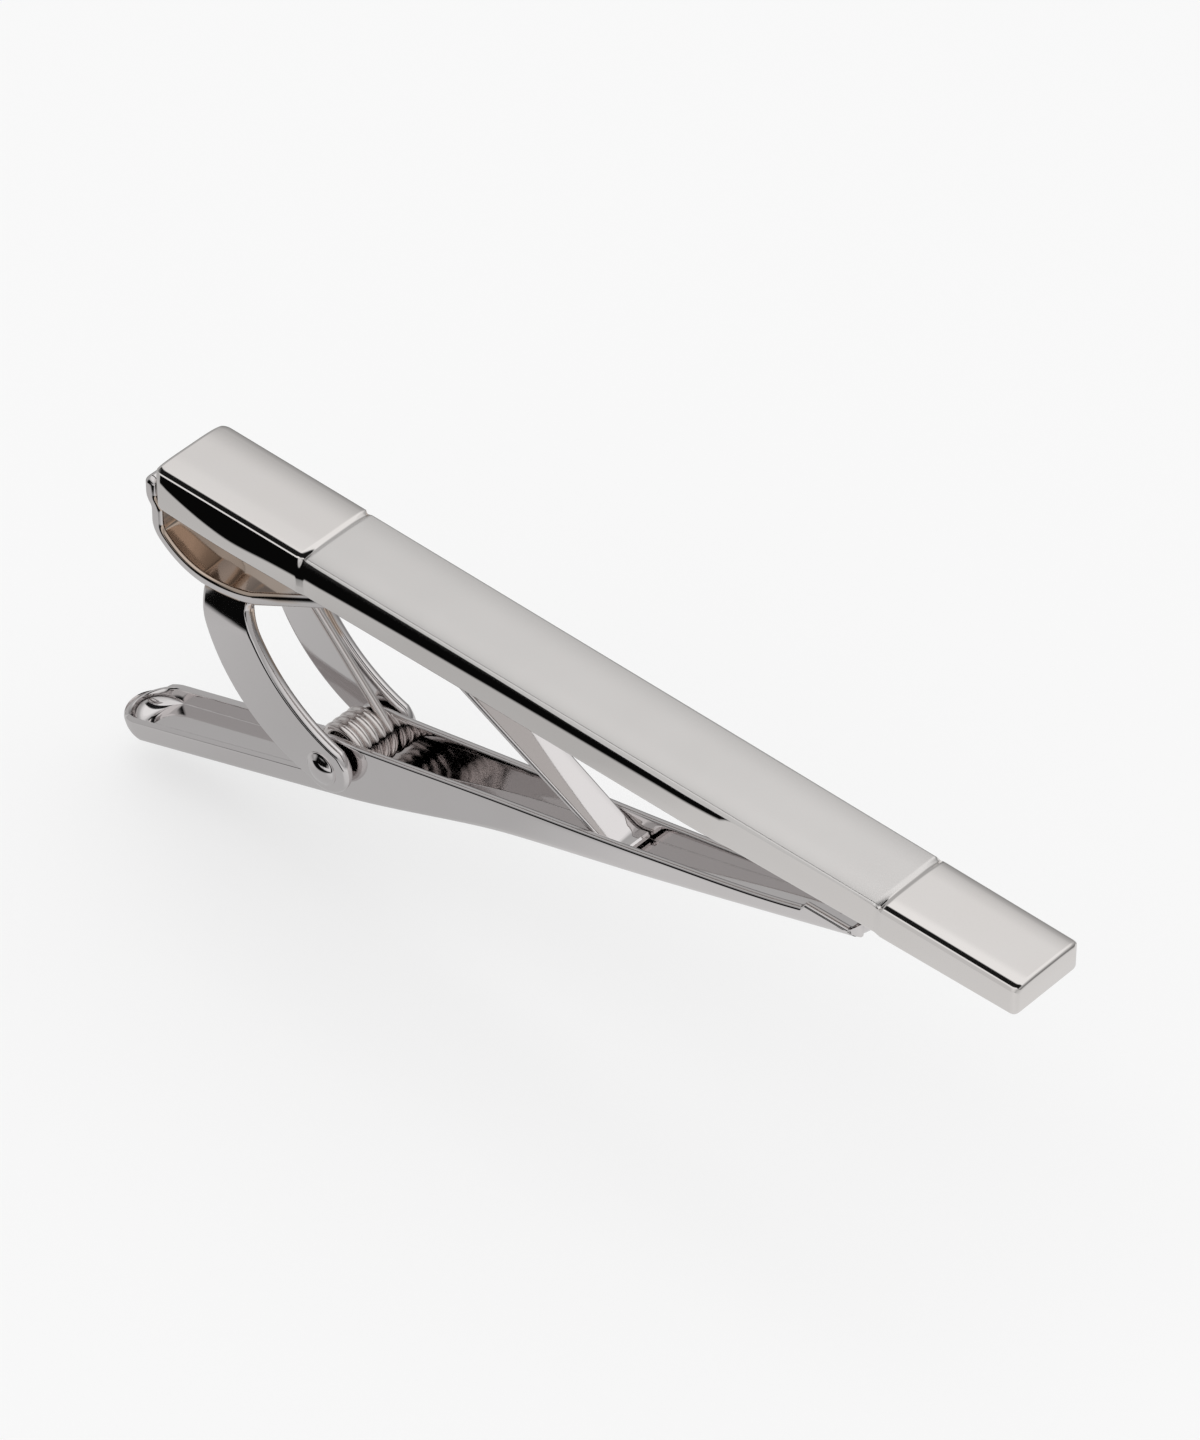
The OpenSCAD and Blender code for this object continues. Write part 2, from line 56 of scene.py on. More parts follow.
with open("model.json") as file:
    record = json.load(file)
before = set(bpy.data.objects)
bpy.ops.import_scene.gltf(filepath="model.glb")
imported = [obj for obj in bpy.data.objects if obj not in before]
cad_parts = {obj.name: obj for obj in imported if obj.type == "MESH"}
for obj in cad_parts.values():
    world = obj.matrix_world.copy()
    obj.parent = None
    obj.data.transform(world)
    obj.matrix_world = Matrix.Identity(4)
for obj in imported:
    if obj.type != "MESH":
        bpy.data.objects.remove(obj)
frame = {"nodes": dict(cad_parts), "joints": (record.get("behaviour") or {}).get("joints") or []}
BAR_LOW, BAR_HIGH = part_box("front_bar")
PIVOT = frame["joints"][0]["pos_m"]
MM = 0.001
QUARTER = math.pi / 2


def at(x, y, z):
    """A point in millimetres from the bar's pivot end and front face, in the frame's metres."""
    return Vector((BAR_LOW.x + x * MM, y * MM, BAR_HIGH.z + z * MM))


PIVOT_X = (PIVOT[0] - BAR_LOW.x) / MM
PIVOT_Z = (PIVOT[2] - BAR_HIGH.z) / MM
BAR_LENGTH = (BAR_HIGH.x - BAR_LOW.x) / MM
BAR_WIDTH = (BAR_HIGH.y - BAR_LOW.y) / MM
BAR_THICK = (BAR_HIGH.z - BAR_LOW.z) / MM


# Settings


def length(name, description, value, low, high):
    """A length, given here in millimetres and kept in metres."""
    return FloatProperty(name=name, description=description, default=value * MM, min=low * MM,
                         max=high * MM, precision=5, unit="LENGTH")


def angle(name, description, degrees, low, high):
    return FloatProperty(name=name, description=description, default=math.radians(degrees),
                         min=math.radians(low), max=math.radians(high), subtype="ANGLE", unit="ROTATION")


def linear(text):
    """An sRGB hex colour as the linear values that a shader takes."""
    parts = [int(text[i:i + 2], 16) / 255 for i in (0, 2, 4)]
    return [c / 12.92 if c <= 0.04045 else ((c + 0.055) / 1.055) ** 2.4 for c in parts]


def colour(name, description, text):
    return FloatVectorProperty(name=name, description=description, default=linear(text), min=0, max=1,
                               size=3, subtype="COLOR")


class ClipBar(bpy.types.PropertyGroup):
    """Front bar"""

    tip_width: length("Tip width", "Width at the tip", 4.75, 3, 6)
    tip_thick: length("Tip thickness", "Thickness at the tip", 1.85, 1, 2.2)
    crown: angle("Crown", "Slope of the front face at its long edges", 4.5, 0, 10)
    edge: length("Edge", "Width of the rounded band along each long edge", 0.3, 0.2, 0.6)
    chamfer: length("Chamfer", "Depth of the bright chamfer below the face", 0.14, 0.1, 0.5)
    lean: angle("Lean", "Slope of the flat under the chamfer", 10, 0, 20)
    corner: length("Corner", "Rounding of the corners at the pivot end", 0.7, 0.2, 1.5)
    tip_corner: length("Tip corner", "Rounding of the corners at the tip", 0.4, 0.1, 0.8)
    rear_groove: length("Rear groove", "Distance of the rear groove from the pivot end", 11, 5, 20)
    front_groove: length("Front groove", "Distance of the front groove from the tip", 9.1, 4, 20)
    groove: length("Groove width", "Width of a groove", 0.62, 0.2, 1)
    notch: length("Notch", "Drop of the notch where a groove runs over the side", 0.7, 0.4, 1.5)


class ClipBracket(bpy.types.PropertyGroup):
    """Bracket"""

    sheet: length("Sheet", "Thickness of the sheet", 0.8, 0.5, 1)
    edge: length("Edge", "Rounding of the sheet's edges", 0.26, 0.05, 0.35)
    solder: length("Solder", "Thickness of the solder", 0.08, 0.04, 0.15)
    loop_width: length("Loop width", "Width of the loop behind the bar", 4.9, 3.5, 5.1)
    pad_width: length("Pad width", "Width of the pad under the bar", 3.3, 2.5, 4)
    pad: length("Pad length", "Length of the pad", 6.2, 3, 8)
    arms: length("Across the arms", "Distance across the arms", 5.8, 5, 7)
    arm: length("Arm", "Thickness of an arm", 0.75, 0.5, 0.85)
    root: length("Root", "Place of an arm's rear edge, from the pivot end", 3.25, 2.8, 4.6)
    root_width: length("Root width", "Width of an arm at its root", 3.55, 2.2, 3.8)
    boss: length("Boss", "Radius of the round end about the rivet", 1.8, 1.4, 2.3)
    boss_lift: length("Boss lift", "Height of the boss's centre above the rivet", 0.2, 0, 0.4)
    ramp: angle("Ramp", "Slope of the ramp that rises to the bar", 24, 18, 32)
    tongue_top: length("Tongue width", "Width of the tongue at its root", 2.4, 1.5, 2.6)
    tongue_foot: length("Foot width", "Width of the tongue at its foot", 2.15, 1, 2.2)
    tongue: length("Tongue thickness", "Thickness of the tongue", 0.4, 0.3, 0.8)
    tongue_slope: angle("Tongue slope", "Slope of the tongue", 26.5, 20, 34)


class ClipJaw(bpy.types.PropertyGroup):
    """Jaw"""

    closed: angle("Closed angle", "Slope of the closed jaw", 18.643, 5, 30)
    handle: length("Handle", "Length behind the pivot", 18.75, 12, 25)
    reach: length("Jaw", "Length in front of the pivot", 38.15, 30, 45)
    depth: length("Depth", "Depth of the channel below the pivot", 2.66, 2, 3)
    sheet: length("Sheet", "Thickness of the sheet", 0.45, 0.3, 0.6)
    handle_width: length("Handle width", "Width of the handle's round end", 4.16, 3, 5)
    pivot_width: length("Width at the pivot", "Width of the jaw at the pivot", 3.9, 3, 4.1)
    nose_width: length("Nose width", "Width of the nose", 2.56, 2, 3.5)
    handle_wall: length("Handle wall", "Height of the handle's walls", 1.5, 1, 2)
    ear_wall: length("Ear wall", "Height of the walls in front of the pivot", 3.66, 3, 4)
    nose_wall: length("Nose wall", "Height of the nose's rim", 1.44, 1, 2)
    ear: length("Ear", "Rounding of the ears about the pivot", 1.45, 1, 2)
    corner: length("Corner", "Rounding of the channel's lower edges", 0.5, 0.46, 0.8)
    handle_bowl: length("Handle bowl", "Extra rounding at the handle's end", 0.9, 0, 1.4)
    nose_bowl: length("Nose bowl", "Extra rounding at the nose", 0.6, 0, 0.7)


class ClipRivet(bpy.types.PropertyGroup):
    """Rivet"""

    head: length("Head", "Radius of a domed head", 1.05, 0.8, 1.3)
    dome: length("Dome", "Height of a head", 0.44, 0.2, 0.45)


class ClipSpring(bpy.types.PropertyGroup):
    """Spring"""

    wire: length("Wire", "Diameter of the wire", 0.56, 0.3, 0.8)
    radius: length("Coil radius", "Centre radius of the coils", 1.5, 1, 2)
    pitch: length("Pitch", "Distance between neighbouring coils", 0.565, 0.5, 0.9)
    turns: FloatProperty(name="Turns", description="Turns between the two legs", default=4.31, min=1, max=6)
    upper_leg: length("Upper leg", "Length of the leg that pushes on the bracket", 9.5, 5, 12)
    lower_leg: length("Lower leg", "Length of the leg that pushes on the handle", 4, 2, 8)
    slope: angle("Upper leg slope", "Slope of the upper leg", 44, 30, 60)
    sides: IntProperty(name="Sides", description="Faces around the wire", default=20, min=8, max=48)


class ClipLook(bpy.types.PropertyGroup):
    """Colours and stage"""

    plate: colour("Plating", "Colour of the bright plating on the bar", "E5E2E0")
    # Painted shade: the loop's inside under the bar is darkened and warmed towards this tan
    sheet: colour("Pressed sheet", "Colour of the plating on the pressed pieces", "DEDBDB")
    loop_shade: colour("Darkening", "Colour of the thin plating inside the loop", "C3AC97")
    wire: colour("Wire", "Colour of the spring wire", "E2DDDB")
    solder: colour("Solder", "Colour of the solder", "B5B1AE")
    floor: colour("Floor", "Colour of the floor", "F7F7F7")
    lens: FloatProperty(name="Lens", description="Focal length of the camera in millimetres", default=200,
                        min=50, max=400, unit="CAMERA")


def sizes(name):
    """The values of a settings group, with its lengths in millimetres."""
    group = getattr(bpy.context.scene, name)
    out = SimpleNamespace()
    for key in type(group).__annotations__:
        value = getattr(group, key)
        setattr(out, key, value / MM if group.bl_rna.properties[key].unit == "LENGTH" else value)
    return out


# Mesh helpers

# Faces that meet at more than this keep a sharp edge
SHARP = math.radians(38)


def finish_shading(mesh, sharp=SHARP):
    mesh.shade_smooth()
    mesh.set_sharp_from_angle(angle=sharp)


def add_object(name, mesh, material=None, sharp=SHARP):
    """Links a mesh as an object at the origin, smooth-shaded where faces meet at a soft angle."""
    obj = bpy.data.objects.new(name, mesh)
    bpy.context.scene.collection.objects.link(obj)
    if material:
        mesh.materials.append(material)
        finish_shading(mesh, sharp)
    return obj


def make_object(name, verts, faces, material, sharp=SHARP):
    """An object from points in millimetres."""
    mesh = bpy.data.meshes.new(name)
    mesh.from_pydata([at(*v) for v in verts], [], faces)
    mesh.validate()
    return add_object(name, mesh, material, sharp)


def apply_modifiers(obj, sharp=SHARP):
    """Turns the evaluated object into its own plain mesh."""
    bpy.context.view_layer.update()
    graph = bpy.context.evaluated_depsgraph_get()
    mesh = bpy.data.meshes.new_from_object(obj.evaluated_get(graph))
    obj.modifiers.clear()
    obj.data = mesh
    mesh.name = obj.name
    finish_shading(mesh, sharp)
    return obj


def evenly(first, last, count):
    """Values that lead from first to last in even steps, without the first."""
    return [first + (last - first) * k / count for k in range(1, count + 1)]


def weld(obj, others):
    """Unites closed meshes into one skin and removes the parts it was made of."""
    for other in others:
        union = obj.modifiers.new("Union", "BOOLEAN")
        union.operation = "UNION"
        union.solver = "EXACT"
        union.object = other
    apply_modifiers(obj)
    for other in others:
        bpy.data.objects.remove(other)
    return obj


def rounded(points, radius, steps=5):
    """A closed outline with its corners rounded, always with the same number of points."""
    out = []
    for i in range(len(points)):
        p, a, b = (Vector(points[k % len(points)]) for k in (i, i - 1, i + 1))
        u, w = (a - p).normalized(), (b - p).normalized()
        half = u.angle(w) / 2
        centre = p + (u + w).normalized() * (radius / math.sin(half))
        first = p + u * (radius / math.tan(half)) - centre
        sign = 1 if first.x * (p - centre).y - first.y * (p - centre).x > 0 else -1
        for k in range(steps + 1):
            t = sign * (math.pi - 2 * half) * k / steps
            out.append((centre.x + math.cos(t) * first.x - math.sin(t) * first.y,
                        centre.y + math.sin(t) * first.x + math.cos(t) * first.y))
    return out


def loft(rows):
    """Faces over rows of the same number of points, closed at both ends."""
    n, last = len(rows[0]), len(rows) - 1
    faces = [list(reversed(range(n))), [last * n + j for j in range(n)]]
    for i in range(last):
        for j in range(n):
            k = (j + 1) % n
            faces.append([i * n + j, i * n + k, (i + 1) * n + k, (i + 1) * n + j])
    return faces


def loft_object(name, rows, material, sharp=SHARP):
    """A closed skin over rows of points in millimetres."""
    return make_object(name, [p for row in rows for p in row], loft(rows), material, sharp)


def ease(points, x):
    """Smooth curve through a few points, with a level tangent at each end."""
    if x <= points[0][0]:
        return points[0][1]
    for i in range(len(points) - 1):
        (x0, y0), (x1, y1) = points[i], points[i + 1]
        if x <= x1:
            m0 = (y1 - points[i - 1][1]) / (x1 - points[i - 1][0]) if i else 0
            m1 = (points[i + 2][1] - y0) / (points[i + 2][0] - x0) if i + 2 < len(points) else 0
            h = x1 - x0
            t = (x - x0) / h
            return ((2 * t ** 3 - 3 * t ** 2 + 1) * y0 + (t ** 3 - 2 * t ** 2 + t) * h * m0
                    + (3 * t ** 2 - 2 * t ** 3) * y1 + (t ** 3 - t ** 2) * h * m1)
    return points[-1][1]


def between(points, x):
    """Straight lines through a few points."""
    for (x0, y0), (x1, y1) in zip(points, points[1:]):
        if x <= x1:
            return y0 + (y1 - y0) * max(0, (x - x0) / (x1 - x0))
    return points[-1][1]


def tucked(radius, d):
    """How far a quarter-round edge has drawn in, at a distance d from the end."""
    return radius - math.sqrt(radius ** 2 - (radius - d) ** 2) if d < radius else 0


def arc_through(a, b, radius, steps):
    """Points from a to b on an arc that turns left, both ends included."""
    u = (b - a).normalized()
    h = (b - a).length / 2
    c = (a + b) / 2 + Vector((-u.y, u.x)) * math.sqrt(radius * radius - h * h)
    a0 = math.atan2(a.y - c.y, a.x - c.x)
    turn = (math.atan2(b.y - c.y, b.x - c.x) - a0) % (2 * math.pi)
    return [c + radius * Vector((math.cos(a0 + turn * i / steps), math.sin(a0 + turn * i / steps)))
            for i in range(steps + 1)]


class Walk:
    """A line drawn in x and z by straight runs and turns. Its points are [x, z, heading]."""

    def __init__(self, x, z, heading):
        self.points = [(x, z, heading)]

    def run(self, distance, steps=1):
        x, z, heading = self.points[-1]
        for d in evenly(0, distance, steps):
            self.points.append((x + d * math.cos(heading), z + d * math.sin(heading), heading))

    def turn(self, radius, angle, steps=10):
        x, z, heading = self.points[-1]
        r = math.copysign(radius, angle)
        cx, cz = x - r * math.sin(heading), z + r * math.cos(heading)
        for part in evenly(0, angle, steps):
            a = heading + part
            self.points.append((cx + r * math.sin(a), cz - r * math.cos(a), a))


def strip(line, half, thick, radius):
    """Rows for a strip along a walk. half and thick give its half width and half
    thickness at each point of the line."""
    rows = []
    for i, (x, z, heading) in enumerate(line):
        w, t = half(i, x), thick(i)
        outline = rounded([(-w, -t), (w, -t), (w, t), (-w, t)], min(radius, 0.9 * t))
        rows.append([(x - v * math.sin(heading), y, z + v * math.cos(heading)) for y, v in outline])
    return rows


# Materials


def add(tree, kind, inputs=None, stops=None, **settings):
    """A node with its settings, its inputs as values or links, and the stops of a ramp."""
    node = tree.nodes.new(kind)
    for key, value in settings.items():
        setattr(node, key, value)
    for key, value in (inputs or {}).items():
        if isinstance(value, bpy.types.NodeSocket):
            tree.links.new(value, node.inputs[key])
        else:
            node.inputs[key].default_value = value
    if stops:
        elements = node.color_ramp.elements
        while len(elements) < len(stops):
            elements.new(0.5)
        for element, (place, value) in zip(elements, stops):
            element.position = place
            element.color = (value, value, value, 1)
    return node


def bare_tree(owner):
    """The emptied node tree of a material or a world."""
    owner.use_nodes = True
    owner.node_tree.nodes.clear()
    return owner.node_tree


def metal(name, tone, rough, marks, loop_shade=None, satin=None):
    """Plated metal. The plating's colour and haze drift a little over a few millimetres, and
    polishing leaves fine marks along the clip, drawn about 0.25 mm apart so that they show.
    An attribute may darken and warm it as painted shade, or make it satin where it was brushed."""
    drift, mark, relief = 4 * MM, 0.25 * MM, 0.01 * MM
    # What is left of each colour where the plating is hazy, and where it is brushed
    warm, dim = (0.98, 0.965, 0.955), 0.98
    material = bpy.data.materials.new(name)
    tree = bare_tree(material)
    place = add(tree, "ShaderNodeTexCoord").outputs["Object"]
    haze = add(tree, "ShaderNodeTexNoise", {"Vector": place, "Scale": 1 / drift, "Detail": 3.0,
                                            "Roughness": 0.55}).outputs[0]
    drawn = add(tree, "ShaderNodeMapping", {"Vector": place, "Scale": (1 / drift, 1 / mark, 1 / mark)})
    scratch = add(tree, "ShaderNodeTexNoise", {"Vector": drawn.outputs[0], "Scale": 1.0, "Detail": 4.0,
                                               "Roughness": 0.7})
    layers = [(haze, [c * k for c, k in zip(tone, warm)])]
    # Painted shade: where the attribute says, the colour is darkened and warmed towards the loop's tone
    if loop_shade:
        shadowed = add(tree, "ShaderNodeAttribute", attribute_name="recess").outputs["Fac"]
        layers.append((shadowed, loop_shade))
    if satin:
        brushed = add(tree, "ShaderNodeAttribute", attribute_name="satin").outputs["Fac"]
        layers.append((brushed, [dim * c for c in tone]))
    base = (*tone, 1)
    for share, over in layers:
        base = add(tree, "ShaderNodeMix", {"Factor": share, 6: base, 7: (*over, 1)},
                   data_type="RGBA").outputs[2]
    gloss = add(tree, "ShaderNodeMapRange", {"Value": haze, "From Min": 0.3, "From Max": 0.7,
                                             "To Min": rough * 0.75, "To Max": rough * 1.3}).outputs[0]
    if satin:
        gloss = add(tree, "ShaderNodeMath", {0: brushed, 1: satin - rough, 2: gloss},
                    operation="MULTIPLY_ADD").outputs[0]
    bump = add(tree, "ShaderNodeBump", {"Height": scratch.outputs[0], "Strength": marks,
                                        "Distance": relief})
    shader = add(tree, "ShaderNodeBsdfPrincipled", {"Base Color": base, "Metallic": 1.0,
                                                    "Roughness": gloss, "Normal": bump.outputs[0]})
    add(tree, "ShaderNodeOutputMaterial", {"Surface": shader.outputs[0]})
    return material


def finish(name):
    """One of the clip's materials, made when it is first asked for."""
    look = sizes("clip_look")
    if name in bpy.data.materials:
        return bpy.data.materials[name]
    makers = {
        # White rhodium-like plate over a polished bar, brushed to satin between the grooves
        "polished_plating": lambda: metal(name, look.plate, rough=0.045, marks=0.007, satin=0.23),
        # The same plate over pressed sheet, a little hazier, with painted shade inside the loop, darkened
        # and warmed towards tan
        "plated_sheet": lambda: metal(name, look.sheet, rough=0.07, marks=0.02, loop_shade=look.loop_shade),
        # Plated sheet drawn into a channel
        "plated_channel": lambda: metal(name, look.sheet, rough=0.07, marks=0.02),
        # Bright drawn spring wire
        "drawn_wire": lambda: metal(name, look.wire, rough=0.08, marks=0.06),
        # Rivet head burnished by its setting punch
        "burnished_rivet": lambda: metal(name, look.sheet, rough=0.06, marks=0.02),
        # Tin solder, which sets dull
        "tin_solder": lambda: metal(name, look.solder, rough=0.35, marks=0.2),
    }
    return makers[name]()


# Front bar

# Lengths in this section are in millimetres. Faces that meet at more than this keep a sharp edge.
BAR_SHARP = math.radians(28)
# Half the width that is level along the middle of the face
LEVEL = 0.9
# How far the edge lies further in between the front groove and the tip
INSET = 0.12
# The edge turns slowly down to the first angle, then fast to the second, with a radius for each
SLOW_END, FAST_END = math.radians(75), math.radians(45)
SLOW, FAST = 2, 0.1
# Between the grooves the slow turn loses this share of its radius and moves out this far
SHARPER, OUTWARD = 0.88, 0.2
# Length over which the edge changes at a groove
CHANGE = 0.5
# Radius between the leaning flat and the upright side
BEND = 2
# The flat's least depth, and the depth from which it leans fully
LEAST, FULL_LEAN = 0.01, 0.06
# Rounding of the ends: the pivot end, and the tip's face and underside
PIVOT_END, TIP_FACE, TIP_UNDER = 0.3, 0.24, 0.2
# Rounding of the lower edges at the tip, and what it gains at the pivot end
FOOT, FOOT_GAIN = 0.2, 0.15
# Depth of a groove along the middle of the face, and what it gains at the edges
VALLEY, VALLEY_GAIN = 0.05, 0.13
# How far a groove's notch cuts into the side, at the pivot end and at the tip
REAR_CUT, FRONT_CUT = 0.12, 0.06
# Thickness of the bar, as shares of its length and of the difference between its ends
BELLY = [(0, 1), (0.35, 0.75), (0.65, 0.6), (0.85, 0.27), (1, 0)]
# Extra depth of the chamfer along the bar
CHAMFER = [(0, 0), (11, 0), (12, 0.025), (18, 0.035), (24, 0.046), (30, 0.085), (38, 0.124), (50, 0)]
# Depth down to which the leaning flat reaches on each side, along the bar
FLAT = [(0, 0.27), (0.6, 0.48), (2, 0.86), (4, 1.25), (6, 1.42), (9, 1.21), (13, 1.02), (18, 0.86),
        (24, 0.73), (30, 0.6), (36, 0.49), (38, 0.455), (40, 0.35), (42, 0.16)]


def bar_under(x):
    tip = sizes("clip_bar").tip_thick
    return -tip - (BAR_THICK - tip) * between(BELLY, x / BAR_LENGTH)


def past(distance):
    """Share of a change that is made at a distance past a groove's middle."""
    return max(0, min(1, 0.5 + distance / CHANGE))


def bar_section(s, x, under):
    """Half of the outline across the bar at x, from the middle of the top round to the
    middle of the underside, as [y, z], and the number of its points that are on the top."""
    ahead = BAR_LENGTH - x
    half = (BAR_WIDTH + (s.tip_width - BAR_WIDTH) * x / BAR_LENGTH) / 2
    half -= tucked(s.corner, x) + tucked(s.tip_corner, ahead)
    top = -tucked(PIVOT_END, x) - tucked(TIP_FACE, ahead)
    low = under + tucked(PIVOT_END, x) + tucked(TIP_UNDER, ahead)
    soft = 1 - SHARPER * past(min(x - s.rear_groove, ahead - s.front_groove))
    inset = INSET * past(s.front_groove - ahead)
    shoulder = half - s.edge - inset + OUTWARD * (1 - soft)
    slope = math.tan(s.crown)
    points = [(0, top)] + [(y, top) for y in evenly(0, LEVEL, 3)]
    for y in evenly(LEVEL, shoulder, 5):
        points.append((y, top - slope * (y - LEVEL) ** 2 / (2 * (shoulder - LEVEL))))
    for radius, first, last in ((SLOW * soft, QUARTER - s.crown, SLOW_END), (FAST, SLOW_END, FAST_END)):
        y, z = points[-1]
        for a in evenly(first, last, 4):
            points.append((y + radius * (math.cos(a) - math.cos(first)),
                           z - radius * (math.sin(first) - math.sin(a))))
    y, z = points[-1]
    drop = s.chamfer + inset + between(CHAMFER, x)
    y, z = y + z - top + drop, top - drop
    points.append((y, z))
    on_top = len(points)
    # The leaning flat, then the upright side
    depth = max(ease(FLAT, x) - drop, LEAST)
    lean = s.lean * min(1, depth / FULL_LEAN)
    y, z = y + depth * math.tan(lean), z - depth
    points += [(y - depth / 2 * math.tan(lean), z + depth / 2), (y, z)]
    for a in evenly(lean, 0, 3):
        points.append((y + BEND * (math.cos(a) - math.cos(lean)), z - BEND * (math.sin(lean) - math.sin(a))))
    y, z = points[-1]
    foot = FOOT + FOOT_GAIN * between(BELLY, x / BAR_LENGTH)
    points.append((y, (z + low + foot) / 2))
    for a in [0] + evenly(0, QUARTER, 6):
        points.append((y - foot + foot * math.cos(a), low + foot - foot * math.sin(a)))
    points += [((y - foot) / 2, low), (0, low)]
    # Grooves: a soft valley over the face, deeper towards both edges, and a notch over the side
    groove = max(0.5 + 0.5 * math.cos(2 * math.pi * min(abs(x - g) / s.groove, 0.5))
                 for g in (s.rear_groove, BAR_LENGTH - s.front_groove))
    cut = REAR_CUT if x < BAR_LENGTH / 2 else FRONT_CUT
    carved = []
    for i, (y, z) in enumerate(points):
        if i < on_top - 1:
            z -= groove * (VALLEY + VALLEY_GAIN * (y / half) ** 3)
        if i >= on_top - 4 and -z < s.notch:
            y -= groove * cut * (1 - max(-z - s.chamfer, 0) / (s.notch - s.chamfer)) ** 1.5
        carved.append((y, z))
    return carved, on_top


def build_bar():
    """Lofted along x, closer where the corners turn and where a groove crosses."""
    s = sizes("clip_bar")
    sections, least_gap = 150, 0.15
    xs = {0.0, BAR_LENGTH}
    for k in range(1, 9):
        draw = 1 - math.cos(QUARTER * k / 8)
        xs.update((PIVOT_END * draw, s.corner * draw))
        xs.update((BAR_LENGTH - TIP_FACE * draw, BAR_LENGTH - s.tip_corner * draw))
    for g in (s.rear_groove, BAR_LENGTH - s.front_groove):
        xs.update(g + s.groove * k / 12 for k in range(-7, 8))
    for x in evenly(0, BAR_LENGTH, sections)[:-1]:
        if all(abs(x - other) > least_gap for other in xs):
            xs.add(x)
    rows, satin = [], []
    brushed = (s.rear_groove, BAR_LENGTH - s.front_groove)
    for x in sorted(xs):
        half, on_top = bar_section(s, x, bar_under(x))
        ring = [(x, y, z) for y, z in half] + [(x, -y, z) for y, z in reversed(half[1:-1])]
        rows.append(ring)
        n = len(half)
        for j in range(len(ring)):
            i = j if j < n else 2 * (n - 1) - j
            satin.append(1.0 if i < on_top and brushed[0] < x < brushed[1] else 0.0)
    bar = loft_object("bar", rows, finish("polished_plating"), BAR_SHARP)
    if len(bar.data.vertices) != len(satin):
        raise RuntimeError("the bar lost points")
    values = bar.data.attributes.new("satin", "FLOAT", "POINT")
    values.data.foreach_set("value", satin)
    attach(bar, "clip_body")
    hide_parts("front_bar")


# Bracket


def sheet_line(s):
    """Middle line of the sheet from the round lip behind the bar, round the loop and up the
    ramp to the pad, with the pad's first point and the slope of the bar's underside."""
    lip_drop, heel, back, crest = 1.15, 0.5, 0.75, 1.5
    joggle, joggle_turn = 0.8, math.radians(40)
    # The loop's radii and turns: its back, its bottom, and the rise to the ramp
    loop = ((1.2, math.radians(46), 10), (4.6, math.radians(44), 20), (9, s.ramp, 20))
    line = Walk(-s.solder - s.sheet / 2, -lip_drop - s.sheet / 2, -QUARTER)
    line.run(max(s.sheet / 4, BAR_THICK - heel - lip_drop - s.sheet / 2))
    line.turn(joggle, joggle_turn)
    line.turn(joggle, -joggle_turn)
    line.run(back)
    for radius, turned, steps in loop:
        line.turn(radius, turned, steps)
    x, z, heading = line.points[-1]
    neck = len(line.points) - 1
    belly = math.atan((bar_under(0) - bar_under(PIVOT_X)) / -PIVOT_X)
    turn = heading - belly
    gap = (bar_under(x) - z) * math.cos(belly) - s.solder - s.sheet / 2
    line.run((gap - crest * (1 - math.cos(turn))) / math.sin(turn), 3)
    line.turn(crest, -turn, 8)
    pad = len(line.points) - 1
    line.run(s.pad, 3)
    return line.points, neck, pad, belly


def build_plate(s, points, neck, pad, material):
    """The strip itself, with a round lip at one end and a softened cut at the other."""
    x, z, heading = points[0]
    r = s.sheet / 2
    lip, draws = [], []
    for degrees in range(6, 90, 12):
        a = math.radians(degrees)
        back = r * math.cos(a)
        lip.append((x - back * math.cos(heading), z - back * math.sin(heading), heading))
        draws.append(r * (1 - math.sin(a)))
    line = lip + points
    draws += [0] * len(points)
    # Two more rows soften the cut: how far out each lies, and how far it draws in
    x, z, heading = points[-1]
    for out, inward in ((0.06, 0.04), (0.1, 0.1)):
        line.append((x + out * math.cos(heading), z + out * math.sin(heading), heading))
        draws.append(inward)
    widths = [(points[neck][0], s.loop_width / 2), (points[pad][0], s.pad_width / 2),
              (BAR_LENGTH, s.pad_width / 2)]
    turn_at = len(lip) + neck

    def half(i, x):
        wide = s.loop_width / 2 if i <= turn_at else between(widths, x)
        return wide - draws[i]

    return loft_object("plate", strip(line, half, lambda i: r - draws[i], s.edge), material)


